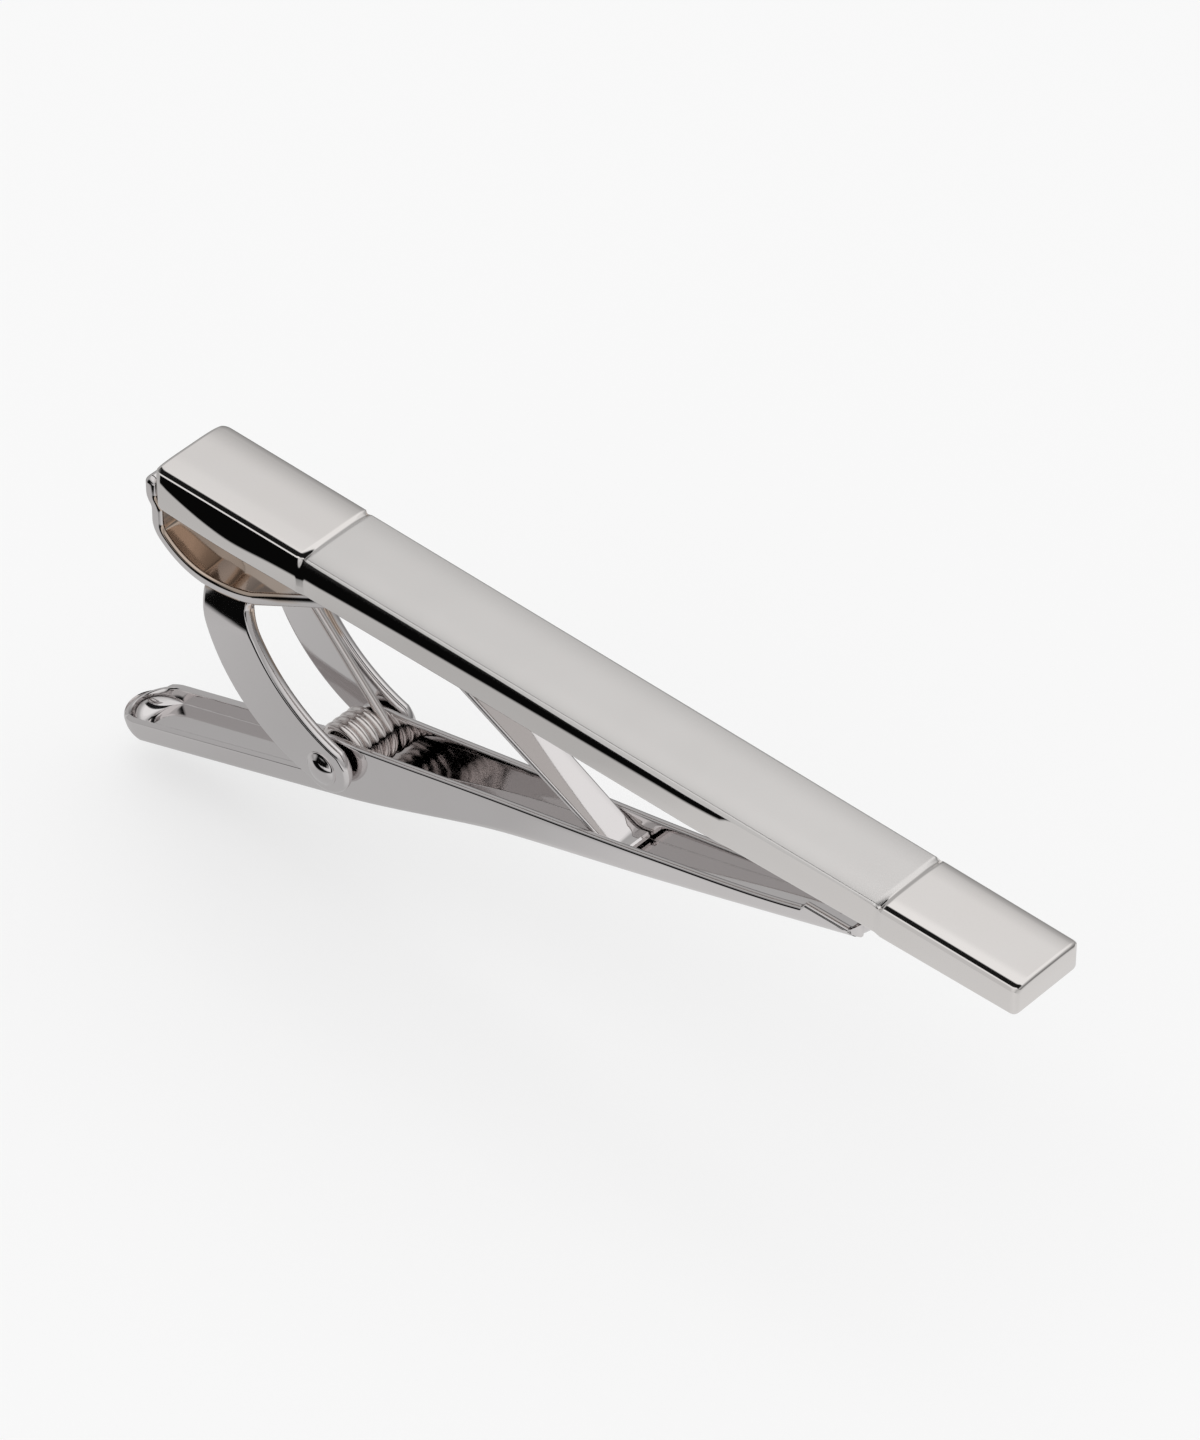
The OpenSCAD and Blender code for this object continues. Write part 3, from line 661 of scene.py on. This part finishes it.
def build_arm(s, points, side, material):
    """An arm is cut from the sheet with its round boss, gets soft edges, and is bent down from
    the plate's edge: a quick turn first, then a slow one down to the upright."""
    quick, quick_end, slow = 0.42, math.radians(26), 2.4
    # Radius of the arm's two edges, and how far it reaches above the middle of the plate's sheet
    curve, sunk = 9.9, 0.12
    # Directions from the boss's centre, in degrees, in which the rear and front edges meet it
    rear_end, front_end = 237, 50
    # The sheet's line along the loop's bottom and the ramp, from 2 mm under the lip on
    bottom = [(x, z) for x, z, _ in points if z < points[0][1] - 2]
    rear_x, front_x = s.root, s.root + s.root_width
    rear_z, front_z = between(bottom, rear_x), between(bottom, front_x)
    foot = front_z - s.sheet
    boss = Vector((PIVOT_X, PIVOT_Z + s.boss_lift))

    def on_boss(degrees):
        a = math.radians(degrees)
        return boss + s.boss * Vector((math.cos(a), math.sin(a)))

    rear = arc_through(Vector((rear_x, foot)), on_boss(rear_end), curve, 26)
    front = arc_through(Vector((front_x, foot)), on_boss(front_end), curve, 26)
    round_end = [on_boss(a) for a in evenly(rear_end, front_end + 360, 30)[:-1]]
    outline = [Vector((rear_x, rear_z + sunk))] + rear + round_end + front[::-1]
    outline.append(Vector((front_x, front_z + sunk)))
    bm = bmesh.new()
    face = bm.faces.new([bm.verts.new((p.x, 0, p.y)) for p in outline])
    made = bmesh.ops.extrude_face_region(bm, geom=[face])["geom"]
    bmesh.ops.translate(bm, vec=(0, s.arm, 0), verts=[v for v in made if isinstance(v, bmesh.types.BMVert)])
    bmesh.ops.recalc_face_normals(bm, faces=bm.faces)
    rim = [e for e in bm.edges if abs(e.verts[0].co.y - e.verts[1].co.y) < s.arm / 2
           and min(v.co.z for v in e.verts) < foot + s.sheet / 2]
    bmesh.ops.bevel(bm, geom=rim, offset=1.25 * s.edge, segments=5, profile=0.5, affect="EDGES",
                    clamp_overlap=False)
    # Cuts across the sheet where it bends
    tilt = (front_z - rear_z) / (front_x - rear_x)
    start = 0.1
    cuts = [start - quick * (1 - math.sin(a)) for a in [QUARTER] + evenly(QUARTER, quick_end, 8)]
    cuts += [cuts[-1] - drop for drop in evenly(0, slow, 12)]
    for drop in cuts:
        bmesh.ops.bisect_plane(bm, geom=bm.verts[:] + bm.edges[:] + bm.faces[:],
                               plane_co=(rear_x, 0, rear_z + drop), plane_no=(-tilt, 0, 1))
    # How far the outer face is set in, at each drop below the plate's middle
    reach, z, bend = 0, cuts[-1], [(0, cuts[-1])]
    for k in range(1, 13):
        a = quick_end * k / 12
        reach += slow / 12 * math.tan(a * (1 - 0.5 / k))
        bend.append((reach, z + slow * k / 12))
    z = bend[-1][1]
    for a in evenly(quick_end, QUARTER, 8):
        bend.append((reach + quick * (math.cos(quick_end) - math.cos(a)),
                     z + quick * (math.sin(a) - math.sin(quick_end))))
    table = [(drop, inward) for inward, drop in bend]
    for v in bm.verts:
        drop = v.co.z - (rear_z + tilt * (v.co.x - rear_x))
        inward = between(table, drop) if drop > table[0][0] else 0
        v.co.y = side * (s.arms / 2 - s.arm + v.co.y - inward)
    for v in bm.verts:
        v.co = at(*v.co)
    bmesh.ops.recalc_face_normals(bm, faces=bm.faces)
    mesh = bpy.data.meshes.new("arm")
    bm.to_mesh(mesh)
    bm.free()
    return add_object("arm", mesh, material)


# Rise of the jaw's floor, as shares of its front length and of its depth
FLOOR = [(0, 0.01), (0.27, 0.185), (0.35, 0.185), (0.6, 0.045), (0.95, -0.055), (1, -0.06)]
# Height of its walls in front of the pivot, as shares of the front length and of the ear's wall
WALL = [(0.06, 1), (0.295, 0.671), (0.595, 0.455), (0.885, 0.311)]


def build_tongue(s, points, belly, material):
    """The tongue runs from the pad down to the jaw's floor and turns along it."""
    jaw = sizes("clip_jaw")
    root, root_r, foot_r, foot_gap, foot_run = 1.5, 1, 1.2, 0.12, 0.5
    edge, soft = 0.14, 0.1
    # Where the foot stands, and the stretch that gives the floor's slope there, as shares
    middle, stretch = 0.5, 0.1
    x, z, _ = points[-1]
    lift = (s.sheet - s.tongue) / 3
    x -= lift * math.sin(belly) + s.tongue * math.cos(belly)
    z += lift * math.cos(belly) - s.tongue * math.sin(belly)
    line = Walk(x - root * math.cos(belly), z - root * math.sin(belly), belly)
    line.run(root)
    line.turn(root_r, -s.tongue_slope - belly, 8)
    rise = between(FLOOR, middle + stretch) - between(FLOOR, middle)
    rise = jaw.depth * rise / (stretch * jaw.reach)
    u, v = middle * jaw.reach, jaw.sheet - jaw.depth * (1 - between(FLOOR, middle))
    c, sn = math.cos(jaw.closed), math.sin(jaw.closed)
    floor_x, floor_z = PIVOT_X + u * c - v * sn, PIVOT_Z + u * sn + v * c
    heading = jaw.closed + math.atan(rise)
    x0, z0, head = line.points[-1]
    turn = heading - head
    height = (floor_x - x0) * math.sin(heading) + (z0 - floor_z) * math.cos(heading)
    clear = height - foot_gap - s.tongue / 2 - foot_r * (1 - math.cos(turn))
    line.run(clear / math.sin(turn), 6)
    line.turn(foot_r, turn, 8)
    line.run(foot_run, 2)
    line.run(soft)
    widths = [(x, s.tongue_top / 2), (line.points[-1][0], s.tongue_foot / 2)]
    ends = (0, len(line.points) - 1)
    rows = strip(line.points, lambda i, at_x: between(widths, at_x) - (soft if i in ends else 0),
                 lambda i: s.tongue / 2 - (soft if i in ends else 0), edge)
    return loft_object("tongue", rows, material)


def build_bracket():
    """One stamping: the looped plate, the two arms and the tongue."""
    s = sizes("clip_bracket")
    steel = finish("plated_sheet")
    points, neck, pad, belly = sheet_line(s)
    plate = build_plate(s, points, neck, pad, steel)
    arms = [build_arm(s, points, side, steel) for side in (-1, 1)]
    tongue = build_tongue(s, points, belly, steel)
    whole = weld(plate, arms + [tongue])
    whole.name = whole.data.name = "bracket_stamping"
    # Painted shade on the upward faces inside the loop under the bar, mixed in by this share of a darker,
    # warmer tone; the loop ends here in front and on top
    loop_end, loop_top, shadowed = 9, -2, 0.75
    values = []
    for v in whole.data.vertices:
        x, z = (v.co.x - BAR_LOW.x) / MM, (v.co.z - BAR_HIGH.z) / MM
        inside = v.normal.z > 0.1 and abs(v.co.y) < s.loop_width / 2 * MM
        values.append(shadowed if inside and x < loop_end and z < loop_top else 0.0)
    recess = whole.data.attributes.new("recess", "FLOAT", "POINT")
    recess.data.foreach_set("value", values)
    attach(whole, "clip_body")
    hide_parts("bracket")


# Jaw


def jaw_floor(s, u):
    return -s.depth + s.depth * ease(FLOOR, max(u, 0) / s.reach)


def jaw_rim(s, u, y):
    """Height of the rim along the jaw: the handle with its lower end, the ear, the walls that
    fall away in front, and the nose with the tooth that bites the tie."""
    handle = s.handle_wall - s.depth
    ear_rise = 0.35 * s.ear
    bowl_end, bowl_drop = (0.9, 1.25), 0.09 * s.handle_wall
    tooth_half, tooth_side, tooth_long, tooth_top = 1.05, 0.45, 0.6, -0.5
    if u < -s.ear - ear_rise:
        step = ease([(bowl_end[0] - s.handle, 0), (bowl_end[1] - s.handle, 1)], u)
        return handle - bowl_drop * (1 - step)
    if u < -s.ear:
        return handle + (u + s.ear + ear_rise) / 2
    if u < 0:
        return math.sqrt(s.ear ** 2 - u ** 2)
    points = [(0, s.ear)]
    for share, wall in WALL:
        points.append((share * s.reach, -s.depth + s.depth * between(FLOOR, share) + s.ear_wall * wall))
    end, step = WALL[-1][0] * s.reach, 0.3 * s.nose_wall
    if u <= end:
        return ease(points, u)
    rim = -s.depth + s.depth * between(FLOOR, (end + step) / s.reach) + s.nose_wall
    if u < end + step:
        return points[-1][1] + (rim - points[-1][1]) * (u - end) / step
    rim -= (u - end - step) * math.tan(s.closed)
    tooth = max(0, min(1, (tooth_half - abs(y)) / tooth_side)) if u > s.reach - tooth_long else 0
    return rim + (tooth_top - rim) * tooth ** 2 * (3 - 2 * tooth)


def jaw_profile(t, rim, low, r):
    """Section through the wall: the lower bend, up the outside, over the rim
    and down the inside, as [inset, height]."""
    e = 0.42 * t
    levels = 6
    quarter = [QUARTER * k / 8 for k in range(9)]
    outside = [(r - r * math.sin(a), low + r - r * math.cos(a)) for a in quarter]
    up = [(0, low + r + (rim - e - low - r) * k / levels) for k in range(1, levels)]
    over = [(e - e * math.cos(a), rim - e + e * math.sin(a)) for a in quarter[::2]]
    ri = r - t
    inside = [(r - ri * math.cos(a), low + r - ri * math.sin(a)) for a in quarter]
    return outside + up + over + [(t - i, v) for i, v in over[::-1] + up[::-1]] + inside


def build_jaw():
    """A closed skin from sections through the wall, all round the channel's outline, with its
    floor run across between the two sides."""
    s = sizes("clip_jaw")
    rh, rn = s.handle_width / 2, s.nose_width / 2
    hc, nc = rh - s.handle, s.reach - rn

    def half_at(u):
        end, wide = (hc, s.handle_width) if u < 0 else (nc, s.nose_width)
        return s.pivot_width / 2 + (wide - s.pivot_width) / 2 * u / end

    def round_end(centre, radius, way, bowl):
        spots = []
        for a in [0] + evenly(0, QUARTER, 16):
            c, sn = math.cos(a), math.sin(a)
            spots.append((centre + way * radius * sn, radius * c, way * sn, c, sn * bowl))
        return spots

    # One side of the outline: u, y, the direction out of it, and the extra rounding
    ring = round_end(hc, rh, -1, s.handle_bowl)[::-1]
    # Sections lie closer where the rim is steep: at the bowl, the ear and the nose's step
    steep = [(-s.handle, 1.5 - s.handle), (-2, 0.6), (0.87 * s.reach, 0.92 * s.reach)]
    close, apart, least = 0.09, 0.5, 0.15
    u = hc
    while u < nc - least:
        u += close if any(a < u < b for a, b in steep) else apart
        ring.append((u, half_at(u), 0, 1, 0))
    ring += round_end(nc, rn, 1, s.nose_bowl)
    c, sn = math.cos(s.closed), math.sin(s.closed)
    count = len(ring)
    order = [(i, -1) for i in range(count)] + [(i, 1) for i in range(count - 2, 0, -1)]
    verts, faces = [], []
    for i, side in order:
        u, y, nu, ny, bowl = ring[i]
        for inset, v in jaw_profile(s.sheet, jaw_rim(s, u, y), jaw_floor(s, u), s.corner + bowl):
            a, b = u - nu * inset, side * (y - ny * inset)
            verts.append((PIVOT_X + a * c - v * sn, b, PIVOT_Z + a * sn + v * c))
    total = len(order)
    n = len(verts) // total
    for i in range(total):
        j = (i + 1) % total
        faces += [[j * n + k, j * n + k + 1, i * n + k + 1, i * n + k] for k in range(n - 1)]
    for k in (0, n - 1):
        for i in range(count - 1):
            corners = dict.fromkeys((i, i + 1, (total - i - 1) % total, (total - i) % total))
            strip_face = [q * n + k for q in corners]
            faces.append(strip_face if k == 0 else strip_face[::-1])
    jaw = make_object("jaw_channel", verts, faces, finish("plated_channel"))
    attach(jaw, "jaw")
    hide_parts("lower_jaw")


# Rivet and spring


def build_rivet():
    """A shank with a head at each end, each head a cap of a sphere with a rounded rim."""
    s = sizes("clip_rivet")
    half = sizes("clip_bracket").arms / 2
    sphere = (s.head ** 2 + s.dome ** 2) / (2 * s.dome)
    widest = math.asin(s.head / sphere)
    profile = [(sphere * math.sin(a), s.dome - sphere * (1 - math.cos(a)))
               for a in (widest * k / 12 for k in range(12))]
    rim, sunk = 0.05, 0.02
    profile += [(s.head, rim), (s.head, 0), (0.6 * s.head, -sunk)]
    turns = 48
    verts, faces = [], []
    for side in (-1, 1):
        base = len(verts)
        for r, h in profile:
            for k in range(turns):
                a = 2 * math.pi * k / turns
                verts.append((PIVOT_X + r * math.cos(a), side * (half + h), PIVOT_Z + r * math.sin(a)))
        for i in range(len(profile) - 1):
            for k in range(turns):
                m = (k + 1) % turns
                near, out = base + i * turns, base + (i + 1) * turns
                quad = [near + k, near + m, out + m, out + k]
                faces.append(quad if side < 0 else quad[::-1])
    shank, step = (len(profile) - 1) * turns, len(profile) * turns
    for k in range(turns):
        m = (k + 1) % turns
        faces.append([shank + k, shank + m, step + shank + m, step + shank + k])
    mesh = bpy.data.meshes.new("rivet")
    mesh.from_pydata([at(*v) for v in verts], [], faces)
    bm = bmesh.new()
    bm.from_mesh(mesh)
    bmesh.ops.remove_doubles(bm, verts=bm.verts, dist=0.001 * MM)
    bmesh.ops.recalc_face_normals(bm, faces=bm.faces)
    bm.to_mesh(mesh)
    bm.free()
    rivet = add_object("rivet", mesh, finish("burnished_rivet"))
    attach(rivet, "clip_body")
    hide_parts("hinge_rivet")


def wire_tree():
    """Geometry Nodes: a wire of a given diameter along a line of points."""
    tree = bpy.data.node_groups.new("wire_along_path", "GeometryNodeTree")
    names = {}
    for name, kind in (("Geometry", "Geometry"), ("Diameter", "Float"), ("Sides", "Int"),
                       ("Material", "Material")):
        socket = tree.interface.new_socket(name, in_out="INPUT", socket_type="NodeSocket" + kind)
        names[name] = socket.identifier
    tree.interface.new_socket("Geometry", in_out="OUTPUT", socket_type="NodeSocketGeometry")
    given = add(tree, "NodeGroupInput")
    path = add(tree, "GeometryNodeMeshToCurve", {"Mesh": given.outputs["Geometry"]})
    half = add(tree, "ShaderNodeMath", {0: given.outputs["Diameter"], 1: 0.5}, operation="MULTIPLY")
    ring = add(tree, "GeometryNodeCurvePrimitiveCircle", {"Resolution": given.outputs["Sides"],
                                                          "Radius": half.outputs[0]})
    tube = add(tree, "GeometryNodeCurveToMesh", {"Curve": path.outputs[0], "Profile Curve": ring.outputs[0],
                                                 "Fill Caps": True})
    smooth = add(tree, "GeometryNodeSetShadeSmooth", {0: tube.outputs[0]})
    real = add(tree, "GeometryNodeRealizeInstances", {0: smooth.outputs[0]})
    painted = add(tree, "GeometryNodeSetMaterial", {"Geometry": real.outputs[0],
                                                    "Material": given.outputs["Material"]})
    add(tree, "NodeGroupOutput", {0: painted.outputs[0]})
    return tree, names


def spring_line(s):
    """Middle line of the wire: down the far leg, round the coils and out along the handle,
    with the width of the coils."""
    jaw = sizes("clip_jaw")
    clearance = 0.03
    inner = jaw.depth - jaw.sheet - s.radius - s.wire / 2 - clearance
    end = jaw.closed - QUARTER + math.asin(max(-0.9, min(0.9, inner / s.lower_leg)))
    turn = round(s.turns - (s.slope - end) / (2 * math.pi)) * 2 * math.pi + s.slope - end
    span = s.pitch * turn / (2 * math.pi)
    out = []

    def coil(a, y):
        return PIVOT_X + s.radius * math.cos(a), y, PIVOT_Z + s.radius * math.sin(a)

    x, y, z = coil(s.slope, span / 2)
    for d in evenly(0, s.upper_leg, 16)[::-1]:
        out.append((x - d * math.sin(s.slope), y, z + d * math.cos(s.slope)))
    rings = int(40 * turn / (2 * math.pi))
    out += [coil(s.slope - turn * i / rings, span / 2 - span * i / rings) for i in range(rings + 1)]
    x, y, z = coil(end, -span / 2)
    for d in evenly(0, s.lower_leg, 8):
        out.append((x + d * math.sin(end), y, z - d * math.cos(end)))
    return out, span


def build_spring():
    s = sizes("clip_spring")
    line, span = spring_line(s)
    mesh = bpy.data.meshes.new("spring_path")
    mesh.from_pydata([at(*p) for p in line], [(i, i + 1) for i in range(len(line) - 1)], [])
    spring = add_object("spring_wire", mesh)
    tree, names = wire_tree()
    wire = spring.modifiers.new("Wire", "NODES")
    wire.node_group = tree
    wire[names["Diameter"]] = s.wire * MM
    wire[names["Sides"]] = s.sides
    wire[names["Material"]] = finish("drawn_wire")
    apply_modifiers(spring)
    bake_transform(spring)
    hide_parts("torsion_spring")


def dress_solder():
    for slot in frame["nodes"]["solder"].material_slots:
        slot.material = finish("tin_solder")


# Stage

# Tones of the studio by how steeply a ray rises, from level at 0 to upright at 1. In front it is
# dark low down, beside it is pale, and behind it brightens in slow steps.
FRONT = [(0, 0.003), (0.3, 0.003), (0.345, 0.1), (0.42, 0.62), (0.62, 0.64), (0.7, 0.9), (1, 0.9)]
SIDE = [(0, 0.45), (0.3, 0.5), (0.6, 0.75), (1, 0.9)]
BACK = [(0, 0.15), (0.2, 0.28), (0.3, 0.35), (0.407, 0.43), (0.5, 0.51), (0.559, 0.58), (0.616, 0.74),
        (0.67, 0.86), (0.72, 0.88), (0.745, 1), (1, 1)]
# Tones that metal sees on the floor along and across the clip, in millimetres from the bar's
# pivot end and from its middle line
ALONG = [(-60, 0.4), (-30, 0.55), (-10, 0.6), (0, 0.53), (15, 0.53), (22, 0.68), (43, 0.74), (75, 0.8),
         (140, 0.6)]
ACROSS = [(45, 1), (90, 0.5)]
# A dark lane on the floor starts 3 cm in front of the clip and runs away from it between two
# slanting lines, each with its slope and the lane's share at places along the clip
LANE_START = [(-33, 1), (-26, 0)]
LANE_SIDES = ((-0.9, [(-6, 0), (-2, 1)]), (-0.55, [(48, 1), (58, 0)]))
# White for the camera, the level that lights dull surfaces, and the tones of the lane, of the
# gap overhead and of the wall past the pivot end
WHITE, FILL, LANE_TONE, GAP_TONE, LEFT_TONE = 0.95, 0.86, 0.003, 0.01, 0.5
# The camera's place in millimetres and its direction, which were solved from the photo
CAMERA = (236.985, -228, 275.007)
AZIMUTH, ELEVATION = math.radians(42.2504), math.radians(41.9437)


def ramp(tree, value, stops):
    """Grey tones set at places along a value."""
    low, high = stops[0][0], stops[-1][0]
    place = add(tree, "ShaderNodeMapRange", {"Value": value, "From Min": low, "From Max": high})
    tones = [((p - low) / (high - low), tone) for p, tone in stops]
    return add(tree, "ShaderNodeValToRGB", {"Fac": place.outputs[0]}, tones).outputs[0]


def covered(tree, value, layers):
    """A value that others cover in turn, each by its own share."""
    for share, over in layers:
        value = add(tree, "ShaderNodeMix", {"Factor": share, 2: value, 3: over}).outputs[0]
    return value


def product(tree, values):
    """Several shares multiplied together."""
    whole = values[0]
    for value in values[1:]:
        whole = add(tree, "ShaderNodeMath", {0: whole, 1: value}, operation="MULTIPLY").outputs[0]
    return whole


def build_world():
    """White for the camera, an even level for diffuse light, and a studio for reflections:
    dark low down in front, bright above, and rising slowly in tone behind."""
    world = bpy.data.worlds.new("studio")
    tree = bare_tree(world)
    ray = add(tree, "ShaderNodeLightPath").outputs
    way = add(tree, "ShaderNodeTexCoord").outputs["Generated"]
    x, y, z = add(tree, "ShaderNodeSeparateXYZ", {0: way}).outputs
    beside = ramp(tree, x, [(0.15, 0), (0.35, 1)])
    behind = ramp(tree, y, [(-0.06, 0), (0.06, 1)])
    # A dark gap overhead, and a dim wall past the pivot end
    gap = product(tree, [ramp(tree, y, [(0.12, 0), (0.15, 1), (0.37, 1), (0.41, 0)]),
                         ramp(tree, z, [(0.5, 0), (0.65, 1)])])
    left = ramp(tree, x, [(-0.78, 1), (-0.62, 0)])
    studio = covered(tree, ramp(tree, z, FRONT), [(beside, ramp(tree, z, SIDE)),
                                                  (behind, ramp(tree, z, BACK)),
                                                  (gap, GAP_TONE), (left, LEFT_TONE)])
    strength = covered(tree, FILL, [(ray["Is Glossy Ray"], studio), (ray["Is Camera Ray"], WHITE)])
    sky = add(tree, "ShaderNodeBackground", {"Color": (1, 1, 1, 1), "Strength": strength})
    add(tree, "ShaderNodeOutputWorld", {"Surface": sky.outputs[0]})
    bpy.context.scene.world = world


def floor_paper(look):
    """Matt paper that keeps the clip's shadow. Metal sees it lit in patches, as under lamps."""
    material = bpy.data.materials.new("floor_paper")
    tree = bare_tree(material)
    ray = add(tree, "ShaderNodeLightPath").outputs
    place = add(tree, "ShaderNodeTexCoord").outputs["Object"]
    x, y, _ = add(tree, "ShaderNodeSeparateXYZ", {0: place}).outputs

    def placed(stops, start):
        return [(start + p * MM, tone) for p, tone in stops]

    lit = product(tree, [ramp(tree, x, placed(ALONG, BAR_LOW.x)), ramp(tree, y, placed(ACROSS, 0))])
    # The leaning flat along the bar's side mirrors the lane
    lane = [ramp(tree, y, placed(LANE_START, 0))]
    for slope, edge in LANE_SIDES:
        slant = add(tree, "ShaderNodeMath", {0: y, 1: slope, 2: x}, operation="MULTIPLY_ADD").outputs[0]
        lane.append(ramp(tree, slant, placed(edge, BAR_LOW.x)))
    patch = covered(tree, lit, [(product(tree, lane), LANE_TONE)])
    # The camera sees half paper and half white near the clip, and only white further off
    distance = add(tree, "ShaderNodeVectorMath", {0: place}, operation="LENGTH").outputs["Value"]
    share = product(tree, [ray["Is Camera Ray"], ramp(tree, distance, [(0.1, 0.5), (0.5, 1)])])
    paper = add(tree, "ShaderNodeBsdfDiffuse", {"Color": (*look.floor, 1)})
    white = add(tree, "ShaderNodeEmission", {"Strength": WHITE})
    seen = add(tree, "ShaderNodeMixShader", {0: share, 1: paper.outputs[0], 2: white.outputs[0]})
    glow = add(tree, "ShaderNodeEmission", {"Strength": patch})
    both = add(tree, "ShaderNodeMixShader", {0: ray["Is Glossy Ray"], 1: seen.outputs[0],
                                             2: glow.outputs[0]})
    add(tree, "ShaderNodeOutputMaterial", {"Surface": both.outputs[0]})
    return material


def build_stage():
    """Floor, world, one soft lamp that only the floor's shadow shows, and the camera."""
    scene = bpy.context.scene
    look = sizes("clip_look")
    # The floor lies under the lowest place that the nose reaches when the jaw opens
    jaw = sizes("clip_jaw")
    nose_room, floor_room, wide = 0.5, 0.05, 1.6
    swing = jaw.closed - math.radians(frame["joints"][0]["range_deg"][1])
    nose = PIVOT_Z + jaw.reach * math.sin(swing) + jaw_floor(jaw, jaw.reach) * math.cos(swing)
    lowest = [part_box(n)[0].z for n in frame["nodes"]] + [at(0, 0, nose - nose_room).z]
    low = min(lowest) - floor_room * MM
    mesh = bpy.data.meshes.new("floor")
    mesh.from_pydata([(-wide, -wide, low), (wide, -wide, low), (wide, wide, low), (-wide, wide, low)], [],
                     [[0, 1, 2, 3]])
    floor = add_object("floor", mesh, floor_paper(look))
    build_world()
    light = bpy.data.lights.new("softbox", "AREA")
    light.shape = "SQUARE"
    light.size = 0.9
    light.energy = 1.8
    lamp = bpy.data.objects.new("softbox", light)
    scene.collection.objects.link(lamp)
    lamp.location = (0.1, -0.1, 0.9)
    lamp.visible_glossy = False
    back = Vector((math.sin(AZIMUTH) * math.cos(ELEVATION), -math.cos(AZIMUTH) * math.cos(ELEVATION),
                   math.sin(ELEVATION)))
    right = Vector((math.cos(AZIMUTH), math.sin(AZIMUTH), 0))
    data = bpy.data.cameras.new("camera")
    data.lens = look.lens
    data.sensor_width = 36
    data.clip_start = 0.01
    data.clip_end = 20
    camera = bpy.data.objects.new("camera", data)
    scene.collection.objects.link(camera)
    turn = Matrix((right, back.cross(right), back)).transposed().to_4x4()
    camera.matrix_world = Matrix.Translation(at(*CAMERA)) @ turn
    scene.camera = camera
    scene.view_settings.view_transform = "Standard"


# Add-on


class CLIP_OT_bar(bpy.types.Operator):
    """Build the front bar"""

    bl_idname = "clip.bar"
    bl_label = "Front bar"

    def execute(self, context):
        build_bar()
        return {"FINISHED"}


class CLIP_OT_bracket(bpy.types.Operator):
    """Build the bracket with its loop, arms and tongue"""

    bl_idname = "clip.bracket"
    bl_label = "Bracket"

    def execute(self, context):
        build_bracket()
        return {"FINISHED"}


class CLIP_OT_jaw(bpy.types.Operator):
    """Build the jaw"""

    bl_idname = "clip.jaw"
    bl_label = "Jaw"

    def execute(self, context):
        build_jaw()
        return {"FINISHED"}


class CLIP_OT_rivet(bpy.types.Operator):
    """Build the hinge rivet"""

    bl_idname = "clip.rivet"
    bl_label = "Rivet"

    def execute(self, context):
        build_rivet()
        return {"FINISHED"}


class CLIP_OT_spring(bpy.types.Operator):
    """Build the torsion spring"""

    bl_idname = "clip.spring"
    bl_label = "Spring"

    def execute(self, context):
        build_spring()
        return {"FINISHED"}


class CLIP_OT_solder(bpy.types.Operator):
    """Give the solder joints their material"""

    bl_idname = "clip.solder"
    bl_label = "Solder"

    def execute(self, context):
        dress_solder()
        return {"FINISHED"}


class CLIP_OT_stage(bpy.types.Operator):
    """Build the floor, the light and the camera"""

    bl_idname = "clip.stage"
    bl_label = "Stage"

    def execute(self, context):
        build_stage()
        return {"FINISHED"}


OPERATORS = (CLIP_OT_bar, CLIP_OT_bracket, CLIP_OT_jaw, CLIP_OT_rivet, CLIP_OT_spring, CLIP_OT_solder,
             CLIP_OT_stage)
GROUPS = {"clip_bar": ClipBar, "clip_bracket": ClipBracket, "clip_jaw": ClipJaw, "clip_rivet": ClipRivet,
          "clip_spring": ClipSpring, "clip_look": ClipLook}


class CLIP_PT_panel(bpy.types.Panel):
    """The tie clip's pieces and settings"""

    bl_label = "Tie clip"
    bl_idname = "CLIP_PT_panel"
    bl_space_type = "VIEW_3D"
    bl_region_type = "UI"
    bl_category = "Tie clip"

    def draw(self, context):
        for operator in OPERATORS:
            self.layout.operator(operator.bl_idname)
        for name, group in GROUPS.items():
            box = self.layout.box()
            box.label(text=group.__doc__)
            for key in group.__annotations__:
                box.prop(getattr(context.scene, name), key)


def register():
    for item in (*GROUPS.values(), *OPERATORS, CLIP_PT_panel):
        bpy.utils.register_class(item)
    for name, group in GROUPS.items():
        setattr(bpy.types.Scene, name, PointerProperty(type=group))


def unregister():
    for name in GROUPS:
        delattr(bpy.types.Scene, name)
    for item in (CLIP_PT_panel, *reversed(OPERATORS), *reversed(GROUPS.values())):
        bpy.utils.unregister_class(item)


def main():
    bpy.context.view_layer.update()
    register()
    for operator in OPERATORS:
        module, name = operator.bl_idname.split(".")
        getattr(getattr(bpy.ops, module), name)()


if __name__ == "__main__":
    main()
